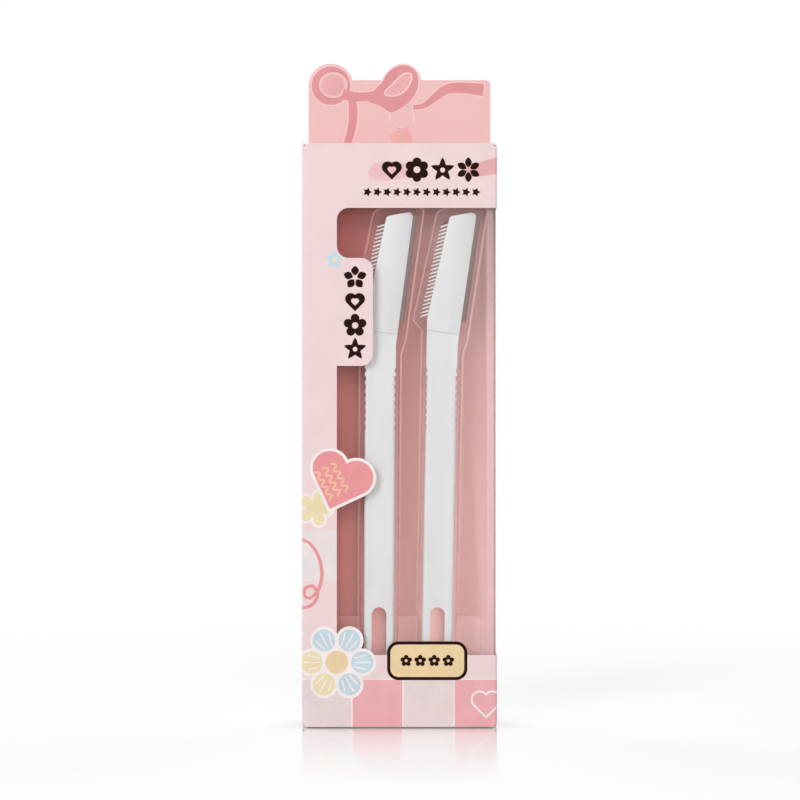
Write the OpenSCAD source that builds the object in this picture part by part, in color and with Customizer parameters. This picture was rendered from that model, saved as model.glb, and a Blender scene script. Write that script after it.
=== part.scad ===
// Window carton holding a pair of eyebrow razors in a clear thermoformed tray.
// Millimetres. X runs across the front, +Y to the back, +Z up.
// The origin is the middle of the carton's base.

/* [Carton] */
// Outside width of the carton
carton_w = 58.5; // [54:0.5:72]
// Outside depth of the carton
carton_d = 16; // [15:0.5:24]
// Room from the top of the razors to the top of the carton
head_room = 20.1; // [16:0.1:30]
// Thickness of the paperboard
board_t = 0.45; // [0.35:0.05:0.6]
// Outside radius of the four upright folds
fold_r = 0.9; // [0.8:0.05:1.4]
// Width of the glued seam flap inside the back
glue_flap_w = 11; // [6:0.5:16]
// Slant cut off each end of the seam flap
glue_flap_slant = 5; // [2:0.5:8]
// Radius of the front panel's free corners
free_corner_r = 0.8; // [0.3:0.1:2]

/* [Window] */
// Board left of the window
window_left = 10.5; // [8:0.5:14]
// Board above the window
window_top = 19.4; // [16:0.2:26]
// Board below the window
window_bottom = 21.8; // [18:0.2:28]
// How far the window runs back on the right side
window_side = 10.5; // [6:0.5:11]
// Radius of the window's rounded corners
window_r = 3.6; // [1.5:0.1:5]
// Thickness of the clear window film
film_t = 0.2; // [0.15:0.05:0.3]
// Film glued behind the board round the window
film_margin = 4; // [2:0.5:6]

/* [Die-cut shapes beside the window] */
// How far the name tab reaches into the window
name_tab_w = 10.8; // [6:0.2:14]
// Height of the name tab
name_tab_h = 32.3; // [24:0.1:40]
// Window left open above the name tab
name_tab_drop = 15; // [10:0.5:20]
// Radius of the heart's two lobes
heart_r = 6; // [4:0.2:7]
// Height of the heart's middle above the window's lower edge
heart_rise = 50.5; // [40:0.5:60]
// Middle of the heart, right of the window's left edge
heart_in = 0.4; // [-2:0.1:3]
// Turn of the heart to the right
heart_turn = 20; // [0:1:45]
// Distance from the blossom's middle to its petals' middles
blossom_ring = 7.6; // [5:0.2:9]
// Radius of one petal
petal_r = 4.2; // [3.6:0.1:5]
// Drop of the blossom's middle below the window's lower edge
blossom_drop = 2.2; // [-2:0.2:5]
// Width of the plaque on the lower edge
plaque_w = 24; // [16:0.5:28]
// Height of the plaque
plaque_h = 11.6; // [8:0.2:14]
// Corner radius of the plaque
plaque_r = 3.4; // [1:0.1:3.9]
// Drop of the plaque's middle below the window's lower edge
plaque_drop = 1.7; // [-1:0.1:4]
// Middle of the plaque, right of the carton's middle
plaque_x = 8.3; // [4:0.1:11]

/* [Hanging header] */
// Height of the header above the carton
header_h = 20.7; // [18:0.1:30]
// Header edge inside the carton's side
header_inset = 1.5; // [0.5:0.1:3]
// Radius of the header's top corners
header_r = 1.6; // [0.5:0.1:4]
// Outline radius of the left loop of the bow
left_loop_r = 6.8; // [5:0.1:8]
// Height of the left loop's middle under the header's top edge
left_loop_drop = 1.8; // [0:0.1:3]
// Outline radius of the right loop of the bow
right_loop_r = 5.4; // [4:0.1:7]
// Height of the right loop's middle under the header's top edge
right_loop_drop = 0.4; // [0:0.1:2]
// Middle of the right loop, right of the carton's middle
right_loop_x = 1.1; // [-2:0.1:4]
// Radius of the punched hanging hole
hole_r = 3.8; // [2.5:0.1:5]
// Height of the hole's middle above the carton
hole_rise = 9.6; // [8:0.1:14]
// Middle of the hole, right of the carton's middle
hole_x = 0.6; // [-2:0.1:2]
// Punched gap round the hole's tab
punch_gap = 0.12; // [0.08:0.02:0.2]

/* [Closures] */
// Length of the tuck flaps
tuck_len = 7; // [5:0.5:8]
// Room between a tuck flap and the front panel
tuck_gap = 0.7; // [0.6:0.05:0.9]
// Corner radius of the tuck flaps
tuck_r = 2.4; // [1:0.1:4]
// Length of the dust flaps
dust_len = 9.5; // [7:0.5:10]
// Gap between a lid and the dust flaps below it
flap_gap = 0.15; // [0.1:0.05:0.3]
// Room kept at the edges of the flaps
flap_room = 0.4; // [0.3:0.05:0.6]
// Room between the dust flaps and the lid's crease
crease_room = 1; // [0.8:0.1:1.5]
// Room between the dust flaps and a tuck flap
dust_room = 1.1; // [1:0.1:1.6]

/* [Tray] */
// Thickness of the clear tray sheet
sheet_t = 0.3; // [0.25:0.05:0.4]
// Room between the tray's face and the window film
tray_front_room = 1.4; // [1.3:0.1:1.8]
// Room round the tray's sides
tray_side_room = 0.4; // [0.3:0.1:1]
// Room between the tray and the back flap
tray_back_room = 0.4; // [0.3:0.1:1]
// Room above the tray for its play
tray_play = 1.2; // [0.8:0.1:2]
// Radius of the tray's outer corners
tray_r = 1.5; // [0.8:0.1:3]
// Room round a razor in its cavity
cavity_room = 0.8; // [0.5:0.1:1.2]
// Depth of a razor's back under the tray's face
cavity_depth = 5; // [4.8:0.1:5.6]
// Clearance under a seated razor
seat_gap = 0.1; // [0.05:0.05:0.2]
// Lower edge of the thumb recess above the tray's foot
thumb_foot = 12; // [8:0.5:18]
// Height of the thumb recess
thumb_h = 20; // [14:0.5:26]
// Depth of the thumb recess
thumb_depth = 2; // [1:0.1:3]
// Room at the sides of the thumb recess
thumb_side = 4; // [2:0.5:6]

/* [Razor] */
// Length of a razor's handle, from its foot to the bend on the blade side
handle_len = 109; // [95:0.5:120]
// Length of the head above that bend
head_len = 40.5; // [36:0.5:46]
// Bend on the comb side, above the one on the blade side
bend_step = 8; // [6:0.5:10]
// Width of the handle
handle_w = 9.3; // [8.6:0.1:10.4]
// Thickness of the handle
handle_t = 4.6; // [4:0.1:4.6]
// Radius of the handle's long edges
handle_edge_r = 1.1; // [0.6:0.1:1.5]
// Radius of the handle's foot corners
foot_r = 3; // [1.5:0.1:4]
// Thickness of the head
head_t = 3.4; // [3:0.1:3.8]
// Lean of the blade edge from the handle
blade_lean = 7.2; // [5:0.2:9]
// Lean of the comb edge from the handle
comb_lean = 11.5; // [9:0.5:13]
// Drop of the head's comb corner under its top
tip_drop = 1.6; // [0.5:0.1:3]
// Radius of the head's corners
tip_r = 1.3; // [0.6:0.1:2]
// Length over which the handle thins to the head
neck_len = 9; // [6:0.5:12]
// Width of the raised rails beside the handle's channel
rail_w = 1.9; // [1.5:0.1:2.2]
// Depth of the channel in each face of the handle
channel_depth = 0.2; // [0.2:0.05:0.6]
// Channel's lower end above the slot
channel_step = 3; // [2:0.5:8]
// Channel's upper end below the bend on the blade side
channel_room = 5; // [4:0.5:10]
// Width of the slot through the handle's foot
slot_w = 4.4; // [4.2:0.1:4.8]
// Height of the slot's lower end
slot_foot = 6; // [5:0.5:10]
// Length of the slot
slot_len = 24.5; // [18:0.5:30]
// Number of grip notches along each edge
grip_count = 8; // [5:1:9]
// Spacing of the grip notches
grip_pitch = 2.45; // [2.2:0.05:2.6]
// Uppermost grip notch below the bend on the blade side
grip_room = 7.4; // [5:0.1:12]
// Radius of a grip notch
notch_r = 0.9; // [0.7:0.05:1]
// Depth of a grip notch
notch_depth = 0.4; // [0.2:0.05:0.5]

/* [Comb and blade] */
// Spacing of the comb teeth
tooth_pitch = 1.2; // [1:0.05:1.6]
// Length of a comb tooth
tooth_len = 2.5; // [1.8:0.1:2.8]
// Width of a tooth at its root
tooth_w = 0.6; // [0.4:0.05:0.7]
// Thickness of the comb
comb_t = 1; // [0.8:0.1:1.3]
// Slant of the teeth towards the handle
tooth_slant = 30; // [0:5:40]
// Plain edge before the first tooth
comb_start = 1.5; // [0.5:0.1:3]
// Head standing above the blade
blade_end = 1; // [0.8:0.1:4]
// Width of the blade
blade_w = 6.6; // [6:0.1:7.2]
// Thickness of the blade
blade_t = 0.3; // [0.2:0.05:0.4]
// Blade standing out past the head
blade_out = 1.5; // [1:0.1:2]
// Width of the ground edge
blade_grind = 0.8; // [0.4:0.1:0.9]
// Start of the blade above the bend on its side
blade_start = 7.5; // [7:0.1:9]
// Radius of the pegs that hold the blade and cover
peg_r = 0.9; // [0.7:0.05:1.1]
// Clearance round a peg
peg_gap = 0.05; // [0.03:0.01:0.1]
// Pegs behind the blade edge
peg_in = 3.1; // [2.8:0.1:3.4]
// Flat beside the bevel down to the blade
bevel_flat_in = 3.6; // [3:0.1:4.2]
// Thickness left at the blade side of the bevel
bevel_edge_t = 0.45; // [0.3:0.05:0.7]
// Joint line between the handle and the head cover, above the blade-side bend
seam_up = 4; // [3:0.1:5]
// Gap at the joint line
seam_gap = 0.08; // [0.04:0.01:0.15]

/* [Pair in the tray] */
// Spacing of the two razors at their feet
razor_pitch = 17.2; // [16.8:0.1:18.4]
// Middle of the pair from the tray's right side
pair_right = 25.9; // [25.4:0.1:28]
// Foot of the razors above the tray's foot
razor_foot = 4.2; // [3:0.1:6]
// Lean of the left razor
left_lean = 0.3; // [0:0.1:0.6]
// Lean of the right razor
right_lean = 1; // [0.6:0.1:1.4]

/* [Hidden] */
$fn = 48;
// Overrun of every cut past the face it opens
over = board_t;
// The carton's faces
x_side = carton_w / 2;
y_front = -carton_d / 2;
y_back = carton_d / 2;
y_ply = y_back - board_t;
y_header = y_back - 2 * board_t;
// The side panels stop short of each lid by a dust flap and two gaps
side_foot = 2 * board_t + flap_gap;
tray_z0 = side_foot + flap_gap;
razor_z = tray_z0 + razor_foot;
razor_len = handle_len + head_len;
carton_h = razor_z + razor_len + head_room;
side_top = carton_h - side_foot;
tray_z1 = side_top - tray_play;
// Edges of the window in the front panel
win_x = -x_side + window_left;
win_z0 = window_bottom;
win_z1 = carton_h - window_top;
// Front face of the tuck flaps
y_tuck = y_front + board_t + tuck_gap;
// Header
header_x = x_side - header_inset;
header_top = carton_h + header_h;
left_loop_x = left_loop_r - header_x;
hole_z = carton_h + hole_rise;
// The hinge chord of the hole's tab, as a share of the hole's radius
chord_share = 0.8;
// Slants of a dust flap's front and back edges, as shares of its length
dust_slope_shares = [0.17, 0.45];
// Film
film_z0 = win_z0 - film_margin;
film_z1 = win_z1 + film_margin;
// Tray
tray_x0 = -x_side + board_t + tray_side_room;
tray_x1 = x_side - board_t - film_t - tray_side_room;
tray_y0 = y_front + board_t + film_t + tray_front_room;
tray_y1 = y_header - tray_back_room;
floor_y = tray_y0 + cavity_depth;
thumb_z0 = tray_z0 + thumb_foot;
pair_x = tray_x1 - pair_right;
// Razor
handle_x = handle_w / 2;
razor_y = floor_y - seat_gap - handle_t / 2;
blade_bend = handle_len;
comb_bend = blade_bend + bend_step;
head_foot = blade_bend + seam_up;
comb_top = razor_len - tip_drop;
comb_len = (comb_top - comb_bend) / cos(comb_lean);
tooth_count = floor((comb_len - 2 * comb_start) / tooth_pitch);
head_right_x = handle_x + (razor_len - blade_bend) * tan(blade_lean);
head_left_x = -handle_x + (comb_top - comb_bend) * tan(comb_lean);
blade_len = head_len - blade_start - blade_end;
slot_top = slot_foot + slot_len;
channel_foot = slot_top + channel_step;
channel_top = blade_bend - channel_room;
grip_foot = blade_bend - grip_room - (grip_count - 1) * grip_pitch;
jaw_y = blade_t / 2;
// Places of the two pegs as shares of the blade's length
peg_shares = [0.2, 0.8];
// How much narrower a tooth is at its tip
tooth_tip_share = 0.55;
// Depth of a peg in the head cover, as a share of the cover's thickness
peg_depth_share = 0.6;

// A flat shape in X and Z, given thickness t from y
module slab(y, t) {
    translate([0, y + t, 0])
        rotate([90, 0, 0])
            linear_extrude(t)
                children();
}

// A block from one corner to the opposite corner
module block(low, high) {
    translate(low)
        cube(high - low);
}

// A rectangle from one corner to the opposite corner, with its corners rounded
module round_rect(low, high, r) {
    size = high - low;
    translate([low[0] + r, low[1]])
        square([size[0] - 2 * r, size[1]]);
    translate([low[0], low[1] + r])
        square([size[0], size[1] - 2 * r]);
    for (x = [low[0] + r, high[0] - r], y = [low[1] + r, high[1] - r])
        translate([x, y])
            circle(r);
}

// A slot with round ends, between two heights
module slot_2d(width, foot, top) {
    r = width / 2;
    translate([-r, foot + r])
        square([width, top - foot - width]);
    for (z = [foot + r, top - r])
        translate([0, z])
            circle(r);
}

// The direction from one point to another
function aim(from, to) = (to - from) / norm(to - from);

// The outward side of an edge of a clockwise outline
function outward(from, to) = [-aim(from, to)[1], aim(from, to)[0]];

// The clockwise outline moved outwards by d
function grown(points, d) = [
    for (i = [0 : len(points) - 1])
        let (before = points[(i + len(points) - 1) % len(points)])
        let (after = points[(i + 1) % len(points)])
        let (n1 = outward(before, points[i]))
        let (n2 = outward(points[i], after))
        points[i] + (n1 + n2) * d / (1 + n1 * n2)
];

// A polygon whose outward corners are rounded, each by its own radius
module rounded(points, radii) {
    count = len(points);
    difference() {
        polygon(points);
        for (i = [0 : count - 1])
            if (radii[i] > 0) {
                before = aim(points[i], points[(i + count - 1) % count]);
                after = aim(points[i], points[(i + 1) % count]);
                half = acos(before * after) / 2;
                centre = points[i] + aim([0, 0], before + after) * radii[i] / sin(half);
                difference() {
                    polygon([
                        points[i] + before * radii[i] / tan(half),
                        2 * points[i] - centre,
                        points[i] + after * radii[i] / tan(half),
                        centre,
                    ]);
                    translate(centre)
                        circle(radii[i]);
                }
            }
    }
}

// The quarter fillet that fills a square corner, which opens up and right
module fillet(r) {
    difference() {
        square(r);
        translate([r, r])
            circle(r);
    }
}

// A quarter ring of board round a fold's centre, turned by angle
module fold_ring(centre, outer, inner, angle) {
    translate(centre)
        rotate(angle)
            intersection() {
                difference() {
                    circle(outer);
                    circle(inner);
                }
                square(outer);
            }
}

// Die-cut outlines

// A heart: a tilted square with a lobe on each upper side
module heart(r) {
    rotate(45) {
        square(2 * r, center = true);
        translate([r, 0])
            circle(r);
        translate([0, r])
            circle(r);
    }
}

// A blossom of six petals
module blossom() {
    circle(blossom_ring);
    for (turn = [0 : 60 : 300])
        rotate(turn)
            translate([blossom_ring, 0])
                circle(petal_r);
}

// The board shapes that reach into the window
module window_shapes() {
    tab_z1 = win_z1 - name_tab_drop;
    tab_z0 = tab_z1 - name_tab_h;
    round_rect([win_x - window_left, tab_z0], [win_x + name_tab_w, tab_z1], window_r);
    translate([win_x, tab_z1])
        fillet(window_r);
    translate([win_x + heart_in, win_z0 + heart_rise])
        rotate(-heart_turn)
            heart(heart_r);
    translate([win_x, win_z0 - blossom_drop])
        blossom();
    translate([plaque_x, win_z0 - plaque_drop])
        round_rect([-plaque_w, -plaque_h] / 2, [plaque_w, plaque_h] / 2, plaque_r);
}

// The opening in the front panel, which runs off its right edge
module window_outline() {
    difference() {
        translate([win_x, win_z0])
            square([x_side - win_x, win_z1 - win_z0]);
        translate([win_x, win_z1])
            mirror([0, 1])
                fillet(window_r);
        window_shapes();
    }
}

// Carton

module front_panel() {
    flat_x = x_side - fold_r;
    color("#F1D7D8")
        slab(y_front, board_t)
            difference() {
                round_rect([-flat_x, 0], [flat_x, carton_h], free_corner_r);
                window_outline();
            }
}

module header_outline(top) {
    round_rect([-header_x, carton_h - board_t], [header_x, top], header_r);
    translate([-header_x, carton_h - board_t])
        square([2 * header_x, header_h / 2]);
}

// The punched hanging hole, or the tab in it when grown by a negative amount
module hole_outline(grow) {
    intersection() {
        circle(hole_r + grow);
        translate([-hole_r, -hole_r])
            square([2 * hole_r, hole_r * (1 + chord_share) + grow]);
    }
}

module back_panel() {
    color("#F3C0C0")
        slab(y_ply, board_t)
            difference() {
                union() {
                    translate([-x_side + free_corner_r, board_t])
                        square([carton_w - free_corner_r - fold_r, carton_h - board_t]);
                    header_outline(header_top);
                }
                translate([hole_x, hole_z])
                    hole_outline(0);
            }
}

// The header's front ply, with the bow's loops standing above its top edge
module header_front_panel() {
    color("#F3C0C0")
        slab(y_header, board_t)
            difference() {
                union() {
                    header_outline(header_top);
                    translate([left_loop_x, header_top - left_loop_drop])
                        circle(left_loop_r);
                    translate([right_loop_x, header_top - right_loop_drop])
                        circle(right_loop_r);
                }
                translate([hole_x, hole_z])
                    hole_outline(0);
                translate([-carton_w, carton_h - carton_w])
                    square([2 * carton_w, carton_w]);
            }
}

module hang_hole_tab() {
    color("#EDBABA")
        slab(y_header, 2 * board_t)
            translate([hole_x, hole_z])
                hole_outline(-punch_gap);
}

module left_side_panel() {
    front_centre = [-x_side + fold_r, y_front + fold_r];
    back_centre = [-x_side + fold_r, y_ply - fold_r];
    color("#F1D7D8")
        translate([0, 0, side_foot])
            linear_extrude(side_top - side_foot) {
                translate([-x_side, front_centre[1]])
                    square([board_t, back_centre[1] - front_centre[1]]);
                fold_ring(front_centre, fold_r, fold_r - board_t, 180);
                fold_ring(back_centre, fold_r, fold_r - board_t, 90);
            }
}

module right_side_panel() {
    front_centre = [x_side - fold_r, y_front + fold_r];
    back_centre = [x_side - fold_r, y_back - fold_r];
    color("#F1D7D8")
        difference() {
            translate([0, 0, side_foot])
                linear_extrude(side_top - side_foot) {
                    translate([x_side - board_t, front_centre[1]])
                        square([board_t, back_centre[1] - front_centre[1]]);
                    fold_ring(front_centre, fold_r, fold_r - board_t, 270);
                    fold_ring(back_centre, fold_r, fold_r - board_t, 0);
                }
            block([x_side - fold_r - over, y_front - over, win_z0],
                  [x_side + over, y_front + window_side, win_z1]);
        }
}

// The seam flap, folded from the left side and glued inside the back
module glue_flap() {
    x0 = -x_side + fold_r;
    x1 = x0 + glue_flap_w;
    color("#F1D7D8")
        slab(y_header, board_t)
            polygon([
                [x0, side_foot],
                [x1, side_foot + glue_flap_slant],
                [x1, side_top - glue_flap_slant],
                [x0, side_top],
            ]);
}

// Clear film behind the window, folded round the right front corner
module window_film() {
    inner_r = fold_r - board_t;
    centre = [x_side - fold_r, y_front + fold_r];
    color("#EEF3F6", 0.25)
        translate([0, 0, film_z0])
            linear_extrude(film_z1 - film_z0) {
                translate([win_x - film_margin, y_front + board_t])
                    square([centre[0] - win_x + film_margin, film_t]);
                translate([x_side - board_t - film_t, centre[1]])
                    square([film_t, window_side + film_margin - fold_r]);
                fold_ring(centre, inner_r, inner_r - film_t, 270);
            }
}

// Closures, each drawn for the top; the bottom ones are the same turned over

module turned_over() {
    translate([0, 0, carton_h])
        mirror([0, 0, 1])
            children();
}

module lid(back) {
    block([-x_side + flap_room, y_tuck, carton_h - board_t],
          [x_side - flap_room, back, carton_h]);
}

module tuck_flap() {
    half = x_side - board_t - flap_room;
    slab(y_tuck, board_t)
        difference() {
            round_rect([-half, carton_h - tuck_len], [half, carton_h + tuck_r], tuck_r);
            translate([-carton_w, carton_h - board_t])
                square([2 * carton_w, carton_w]);
        }
}

// The dust flap on the side where x is low
module dust_flap() {
    y0 = y_tuck + board_t + dust_room;
    y1 = y_header - crease_room;
    translate([-x_side, 0, side_top])
        linear_extrude(board_t)
            polygon([
                [0, y0],
                [dust_len, y0 + dust_len * dust_slope_shares[0]],
                [dust_len, y1 - dust_len * dust_slope_shares[1]],
                [0, y1],
            ]);
}

module top_lid() {
    color("#F1D7D8")
        lid(y_ply - seam_gap);
}

module top_tuck_flap() {
    color("#F1D7D8")
        tuck_flap();
}

module top_dust_flap_left() {
    color("#F1D7D8")
        dust_flap();
}

module top_dust_flap_right() {
    color("#F1D7D8")
        mirror([1, 0, 0])
            dust_flap();
}

module bottom_lid() {
    color("#F1D7D8")
        turned_over()
            lid(y_back);
}

module bottom_tuck_flap() {
    color("#F1D7D8")
        turned_over()
            tuck_flap();
}

module bottom_dust_flap_left() {
    color("#F1D7D8")
        turned_over()
            dust_flap();
}

module bottom_dust_flap_right() {
    color("#F1D7D8")
        turned_over()
            mirror([1, 0, 0])
                dust_flap();
}

// Razor, drawn upright with its foot at the origin and its front towards -Y

// Puts a left or right razor in its cavity; side is -1 or 1
module placed(side) {
    translate([pair_x + side * razor_pitch / 2, razor_y, razor_z])
        rotate([0, side < 0 ? left_lean : right_lean, 0])
            children();
}

// The frame of the blade: its edge runs up from the blade-side bend
module blade_frame() {
    translate([handle_x, 0, blade_bend])
        rotate([0, blade_lean, 0])
            children();
}

module razor_outline() {
    rounded([
        [-handle_x, 0],
        [-handle_x, comb_bend],
        [head_left_x, comb_top],
        [head_right_x, razor_len],
        [handle_x, blade_bend],
        [handle_x, 0],
    ], [foot_r, 0, tip_r, tip_r, 0, foot_r]);
}

// The thickness of the razor along its length, in Y and Z
module razor_profile() {
    neck_foot = blade_bend - neck_len;
    polygon([
        [-handle_t / 2, 0],
        [-handle_t / 2, neck_foot],
        [-head_t / 2, blade_bend],
        [-head_t / 2, razor_len],
        [head_t / 2, razor_len],
        [head_t / 2, blade_bend],
        [handle_t / 2, neck_foot],
        [handle_t / 2, 0],
    ]);
}

// The handle's long edges are rounded up to the neck
module edge_rounding() {
    linear_extrude(blade_bend - neck_len)
        round_rect([-handle_w, -handle_t] / 2, [handle_w, handle_t] / 2, handle_edge_r);
    block([-handle_w, -handle_t, blade_bend - neck_len],
          [razor_len, handle_t, razor_len + over]);
}

// The wedge taken off one face so that the head slopes down to the blade
module bevel_cut() {
    drop = head_t / 2 - jaw_y - bevel_edge_t;
    blade_frame()
        linear_extrude(2 * razor_len, center = true)
            polygon([
                [-bevel_flat_in, -head_t / 2],
                [0, -head_t / 2 + drop],
                [bevel_flat_in, -head_t / 2 + 2 * drop],
                [bevel_flat_in, -head_t],
                [-bevel_flat_in, -head_t],
            ]);
}

// Everything above the joint line, in front of the jaw's face
module head_pocket(gap) {
    translate([0, jaw_y, head_foot - gap])
        rotate([0, blade_lean, 0])
            block([-razor_len, -handle_t - over, 0], [razor_len, 0, razor_len]);
}

module comb_teeth() {
    translate([-handle_x, jaw_y + comb_t, comb_bend])
        rotate([90, comb_lean, 0])
            linear_extrude(comb_t)
                for (i = [0 : tooth_count])
                    translate([0, comb_start + i * tooth_pitch])
                        rotate(180 + tooth_slant)
                            polygon([
                                [-tooth_w, -tooth_w / 2],
                                [tooth_len, -tooth_w / 2 * tooth_tip_share],
                                [tooth_len, tooth_w / 2 * tooth_tip_share],
                                [-tooth_w, tooth_w / 2],
                            ]);
}

module grip_notches() {
    for (side = [-1, 1], i = [0 : grip_count - 1])
        translate([side * (handle_x + notch_r - notch_depth), 0, grip_foot + i * grip_pitch])
            rotate([90, 0, 0])
                cylinder(r = notch_r, h = 2 * handle_t, center = true);
}

module pegs(r, y0, y1) {
    blade_frame()
        for (share = peg_shares)
            translate([-peg_in, y1, blade_start + blade_len * share])
                rotate([90, 0, 0])
                    cylinder(r = r, h = y1 - y0);
}

module razor_handle() {
    channel_w = handle_w - 2 * rail_w;
    cover_t = head_t / 2 - jaw_y;
    difference() {
        intersection() {
            slab(-handle_t / 2, handle_t)
                razor_outline();
            rotate([90, 0, 90])
                linear_extrude(2 * razor_len, center = true)
                    razor_profile();
            edge_rounding();
        }
        head_pocket(0);
        mirror([0, 1, 0])
            bevel_cut();
        grip_notches();
        slab(-handle_t, 2 * handle_t)
            slot_2d(slot_w, slot_foot, slot_top);
        for (y = [-handle_t / 2 - over, handle_t / 2 - channel_depth])
            slab(y, over + channel_depth)
                slot_2d(channel_w, channel_foot, channel_top);
    }
    comb_teeth();
    pegs(peg_r, -jaw_y - cover_t * peg_depth_share, jaw_y + over);
}

module razor_blade() {
    edge = blade_out;
    difference() {
        blade_frame()
            translate([0, 0, blade_start])
                linear_extrude(blade_len)
                    polygon([
                        [edge - blade_w, -blade_t / 2],
                        [edge - blade_grind, -blade_t / 2],
                        [edge, 0],
                        [edge - blade_grind, blade_t / 2],
                        [edge - blade_w, blade_t / 2],
                    ]);
        pegs(peg_r + peg_gap, -blade_t, blade_t);
    }
}

module razor_head_cover() {
    cover_t = head_t / 2 - jaw_y;
    difference() {
        intersection() {
            slab(-head_t / 2, cover_t)
                razor_outline();
            translate([0, -jaw_y, head_foot + seam_gap])
                rotate([0, blade_lean, 0])
                    block([-razor_len, -cover_t - over, 0], [razor_len, over, razor_len]);
        }
        bevel_cut();
        pegs(peg_r + peg_gap, -jaw_y - cover_t * peg_depth_share - seam_gap, 0);
    }
}

// Tray

// The space for one razor: its outline with room for the blade and the comb
module cavity_outline(grow) {
    r = cavity_room + grow;
    rounded(grown([
        [-handle_x, 0],
        [-handle_x, comb_bend - tooth_len],
        [-handle_x - tooth_len, comb_bend],
        [head_left_x - tooth_len, comb_top],
        [head_left_x, razor_len],
        [head_right_x + blade_out, razor_len],
        [handle_x + blade_out, blade_bend + tooth_len],
        [handle_x, blade_bend - tooth_len],
        [handle_x, 0],
    ], r), [r, 0, r, r, r, r, r, 0, r]);
}

module cavities(y0, y1, grow) {
    for (side = [-1, 1])
        translate([0, -razor_y, 0])
            placed(side)
                slab(y0, y1 - y0)
                    cavity_outline(grow);
}

module tray_pan(inset, y0, y1) {
    slab(y0, y1 - y0)
        round_rect([tray_x0 + inset, tray_z0 + inset], [tray_x1 - inset, tray_z1 - inset],
                   tray_r - inset);
}

module thumb_recess(grow, y0, y1) {
    slab(y0, y1 - y0)
        round_rect([tray_x0 + thumb_side - grow, thumb_z0 - grow],
                   [tray_x1 - thumb_side + grow, thumb_z0 + thumb_h + grow], tray_r + grow);
}

module blister_tray() {
    color("#EDF2F4", 0.3)
        difference() {
            union() {
                difference() {
                    tray_pan(0, tray_y0, tray_y1);
                    tray_pan(sheet_t, tray_y0 + sheet_t, tray_y1 + over);
                }
                cavities(tray_y0 + sheet_t / 2, floor_y + sheet_t, sheet_t);
                thumb_recess(sheet_t, tray_y0 + sheet_t / 2, tray_y0 + thumb_depth + sheet_t);
            }
            cavities(tray_y0 - over, floor_y, 0);
            thumb_recess(0, tray_y0 - over, tray_y0 + thumb_depth);
        }
}

module left_razor_handle() {
    color("#E6E6E6")
        placed(-1)
            razor_handle();
}

module left_razor_blade() {
    color("#8E8A88")
        placed(-1)
            razor_blade();
}

module left_razor_head_cover() {
    color("#F0F0F0")
        placed(-1)
            razor_head_cover();
}

module right_razor_handle() {
    color("#E6E6E6")
        placed(1)
            razor_handle();
}

module right_razor_blade() {
    color("#8E8A88")
        placed(1)
            razor_blade();
}

module right_razor_head_cover() {
    color("#F0F0F0")
        placed(1)
            razor_head_cover();
}

front_panel();
back_panel();
left_side_panel();
right_side_panel();
glue_flap();
header_front_panel();
hang_hole_tab();
window_film();
top_lid();
top_tuck_flap();
top_dust_flap_left();
top_dust_flap_right();
bottom_lid();
bottom_tuck_flap();
bottom_dust_flap_left();
bottom_dust_flap_right();
blister_tray();
left_razor_handle();
left_razor_blade();
left_razor_head_cover();
right_razor_handle();
right_razor_blade();
right_razor_head_cover();
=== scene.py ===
import math

import bmesh
import bpy
import numpy as np
from bpy.props import FloatProperty, FloatVectorProperty, IntProperty, PointerProperty
from mathutils import Matrix, Vector
from mathutils.geometry import delaunay_2d_cdt


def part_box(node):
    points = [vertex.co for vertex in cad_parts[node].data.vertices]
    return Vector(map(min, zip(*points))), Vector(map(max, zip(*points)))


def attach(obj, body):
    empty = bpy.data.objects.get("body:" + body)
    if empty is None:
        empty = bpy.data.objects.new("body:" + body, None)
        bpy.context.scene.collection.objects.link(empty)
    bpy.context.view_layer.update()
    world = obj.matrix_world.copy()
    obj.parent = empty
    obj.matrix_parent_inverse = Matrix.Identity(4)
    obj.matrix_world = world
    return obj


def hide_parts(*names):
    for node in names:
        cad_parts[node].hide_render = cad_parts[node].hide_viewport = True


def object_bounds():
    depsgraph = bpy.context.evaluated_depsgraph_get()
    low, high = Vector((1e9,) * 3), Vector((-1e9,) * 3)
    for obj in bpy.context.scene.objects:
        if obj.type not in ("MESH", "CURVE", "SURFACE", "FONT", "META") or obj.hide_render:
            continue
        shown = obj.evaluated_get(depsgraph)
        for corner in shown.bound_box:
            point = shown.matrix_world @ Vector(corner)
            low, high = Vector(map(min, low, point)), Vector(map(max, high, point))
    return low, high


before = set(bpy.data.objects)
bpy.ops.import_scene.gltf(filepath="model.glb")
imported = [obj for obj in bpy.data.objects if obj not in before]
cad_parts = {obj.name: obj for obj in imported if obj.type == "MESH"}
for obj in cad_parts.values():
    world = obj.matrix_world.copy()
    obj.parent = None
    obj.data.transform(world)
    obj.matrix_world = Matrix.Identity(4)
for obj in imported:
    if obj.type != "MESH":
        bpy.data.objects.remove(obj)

bl_info = {
    "name": "Window carton with two eyebrow razors",
    "version": (1, 0, 0),
    "blender": (4, 5, 0),
    "location": "3D View > Sidebar > Carton",
    "description": "Dresses the packed carton: printed board, clear film and tray, razors and studio",
    "category": "Object",
}

# Drawings are in millimetres, and each piece is scaled to metres once, before it is finished.
MM = 0.001
CAD_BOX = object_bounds()

# The carton's sleeve: half the flat front, half the flat side, the fold's outside radius and the board
FLAT_X, FLAT_Y, FOLD_R, BOARD_T = 28.35, 7.1, 0.9, 0.45
FOLD_ARC = FOLD_R * math.pi / 2
# The board's outside lies this far inside the CAD faces. Each ink layer takes a step of that room,
# and a wider step in front of the header
INK_ROOM, INK_STEP, HEADER_INK_STEP = 0.05, 0.009, 0.012
# Prints on the folds, the sides and the back stay between these heights
SLEEVE_Z = (1.1, 173.9)
# The front's free lower edge stands this far clear of the table
FOOT_GAP = 0.3
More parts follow.
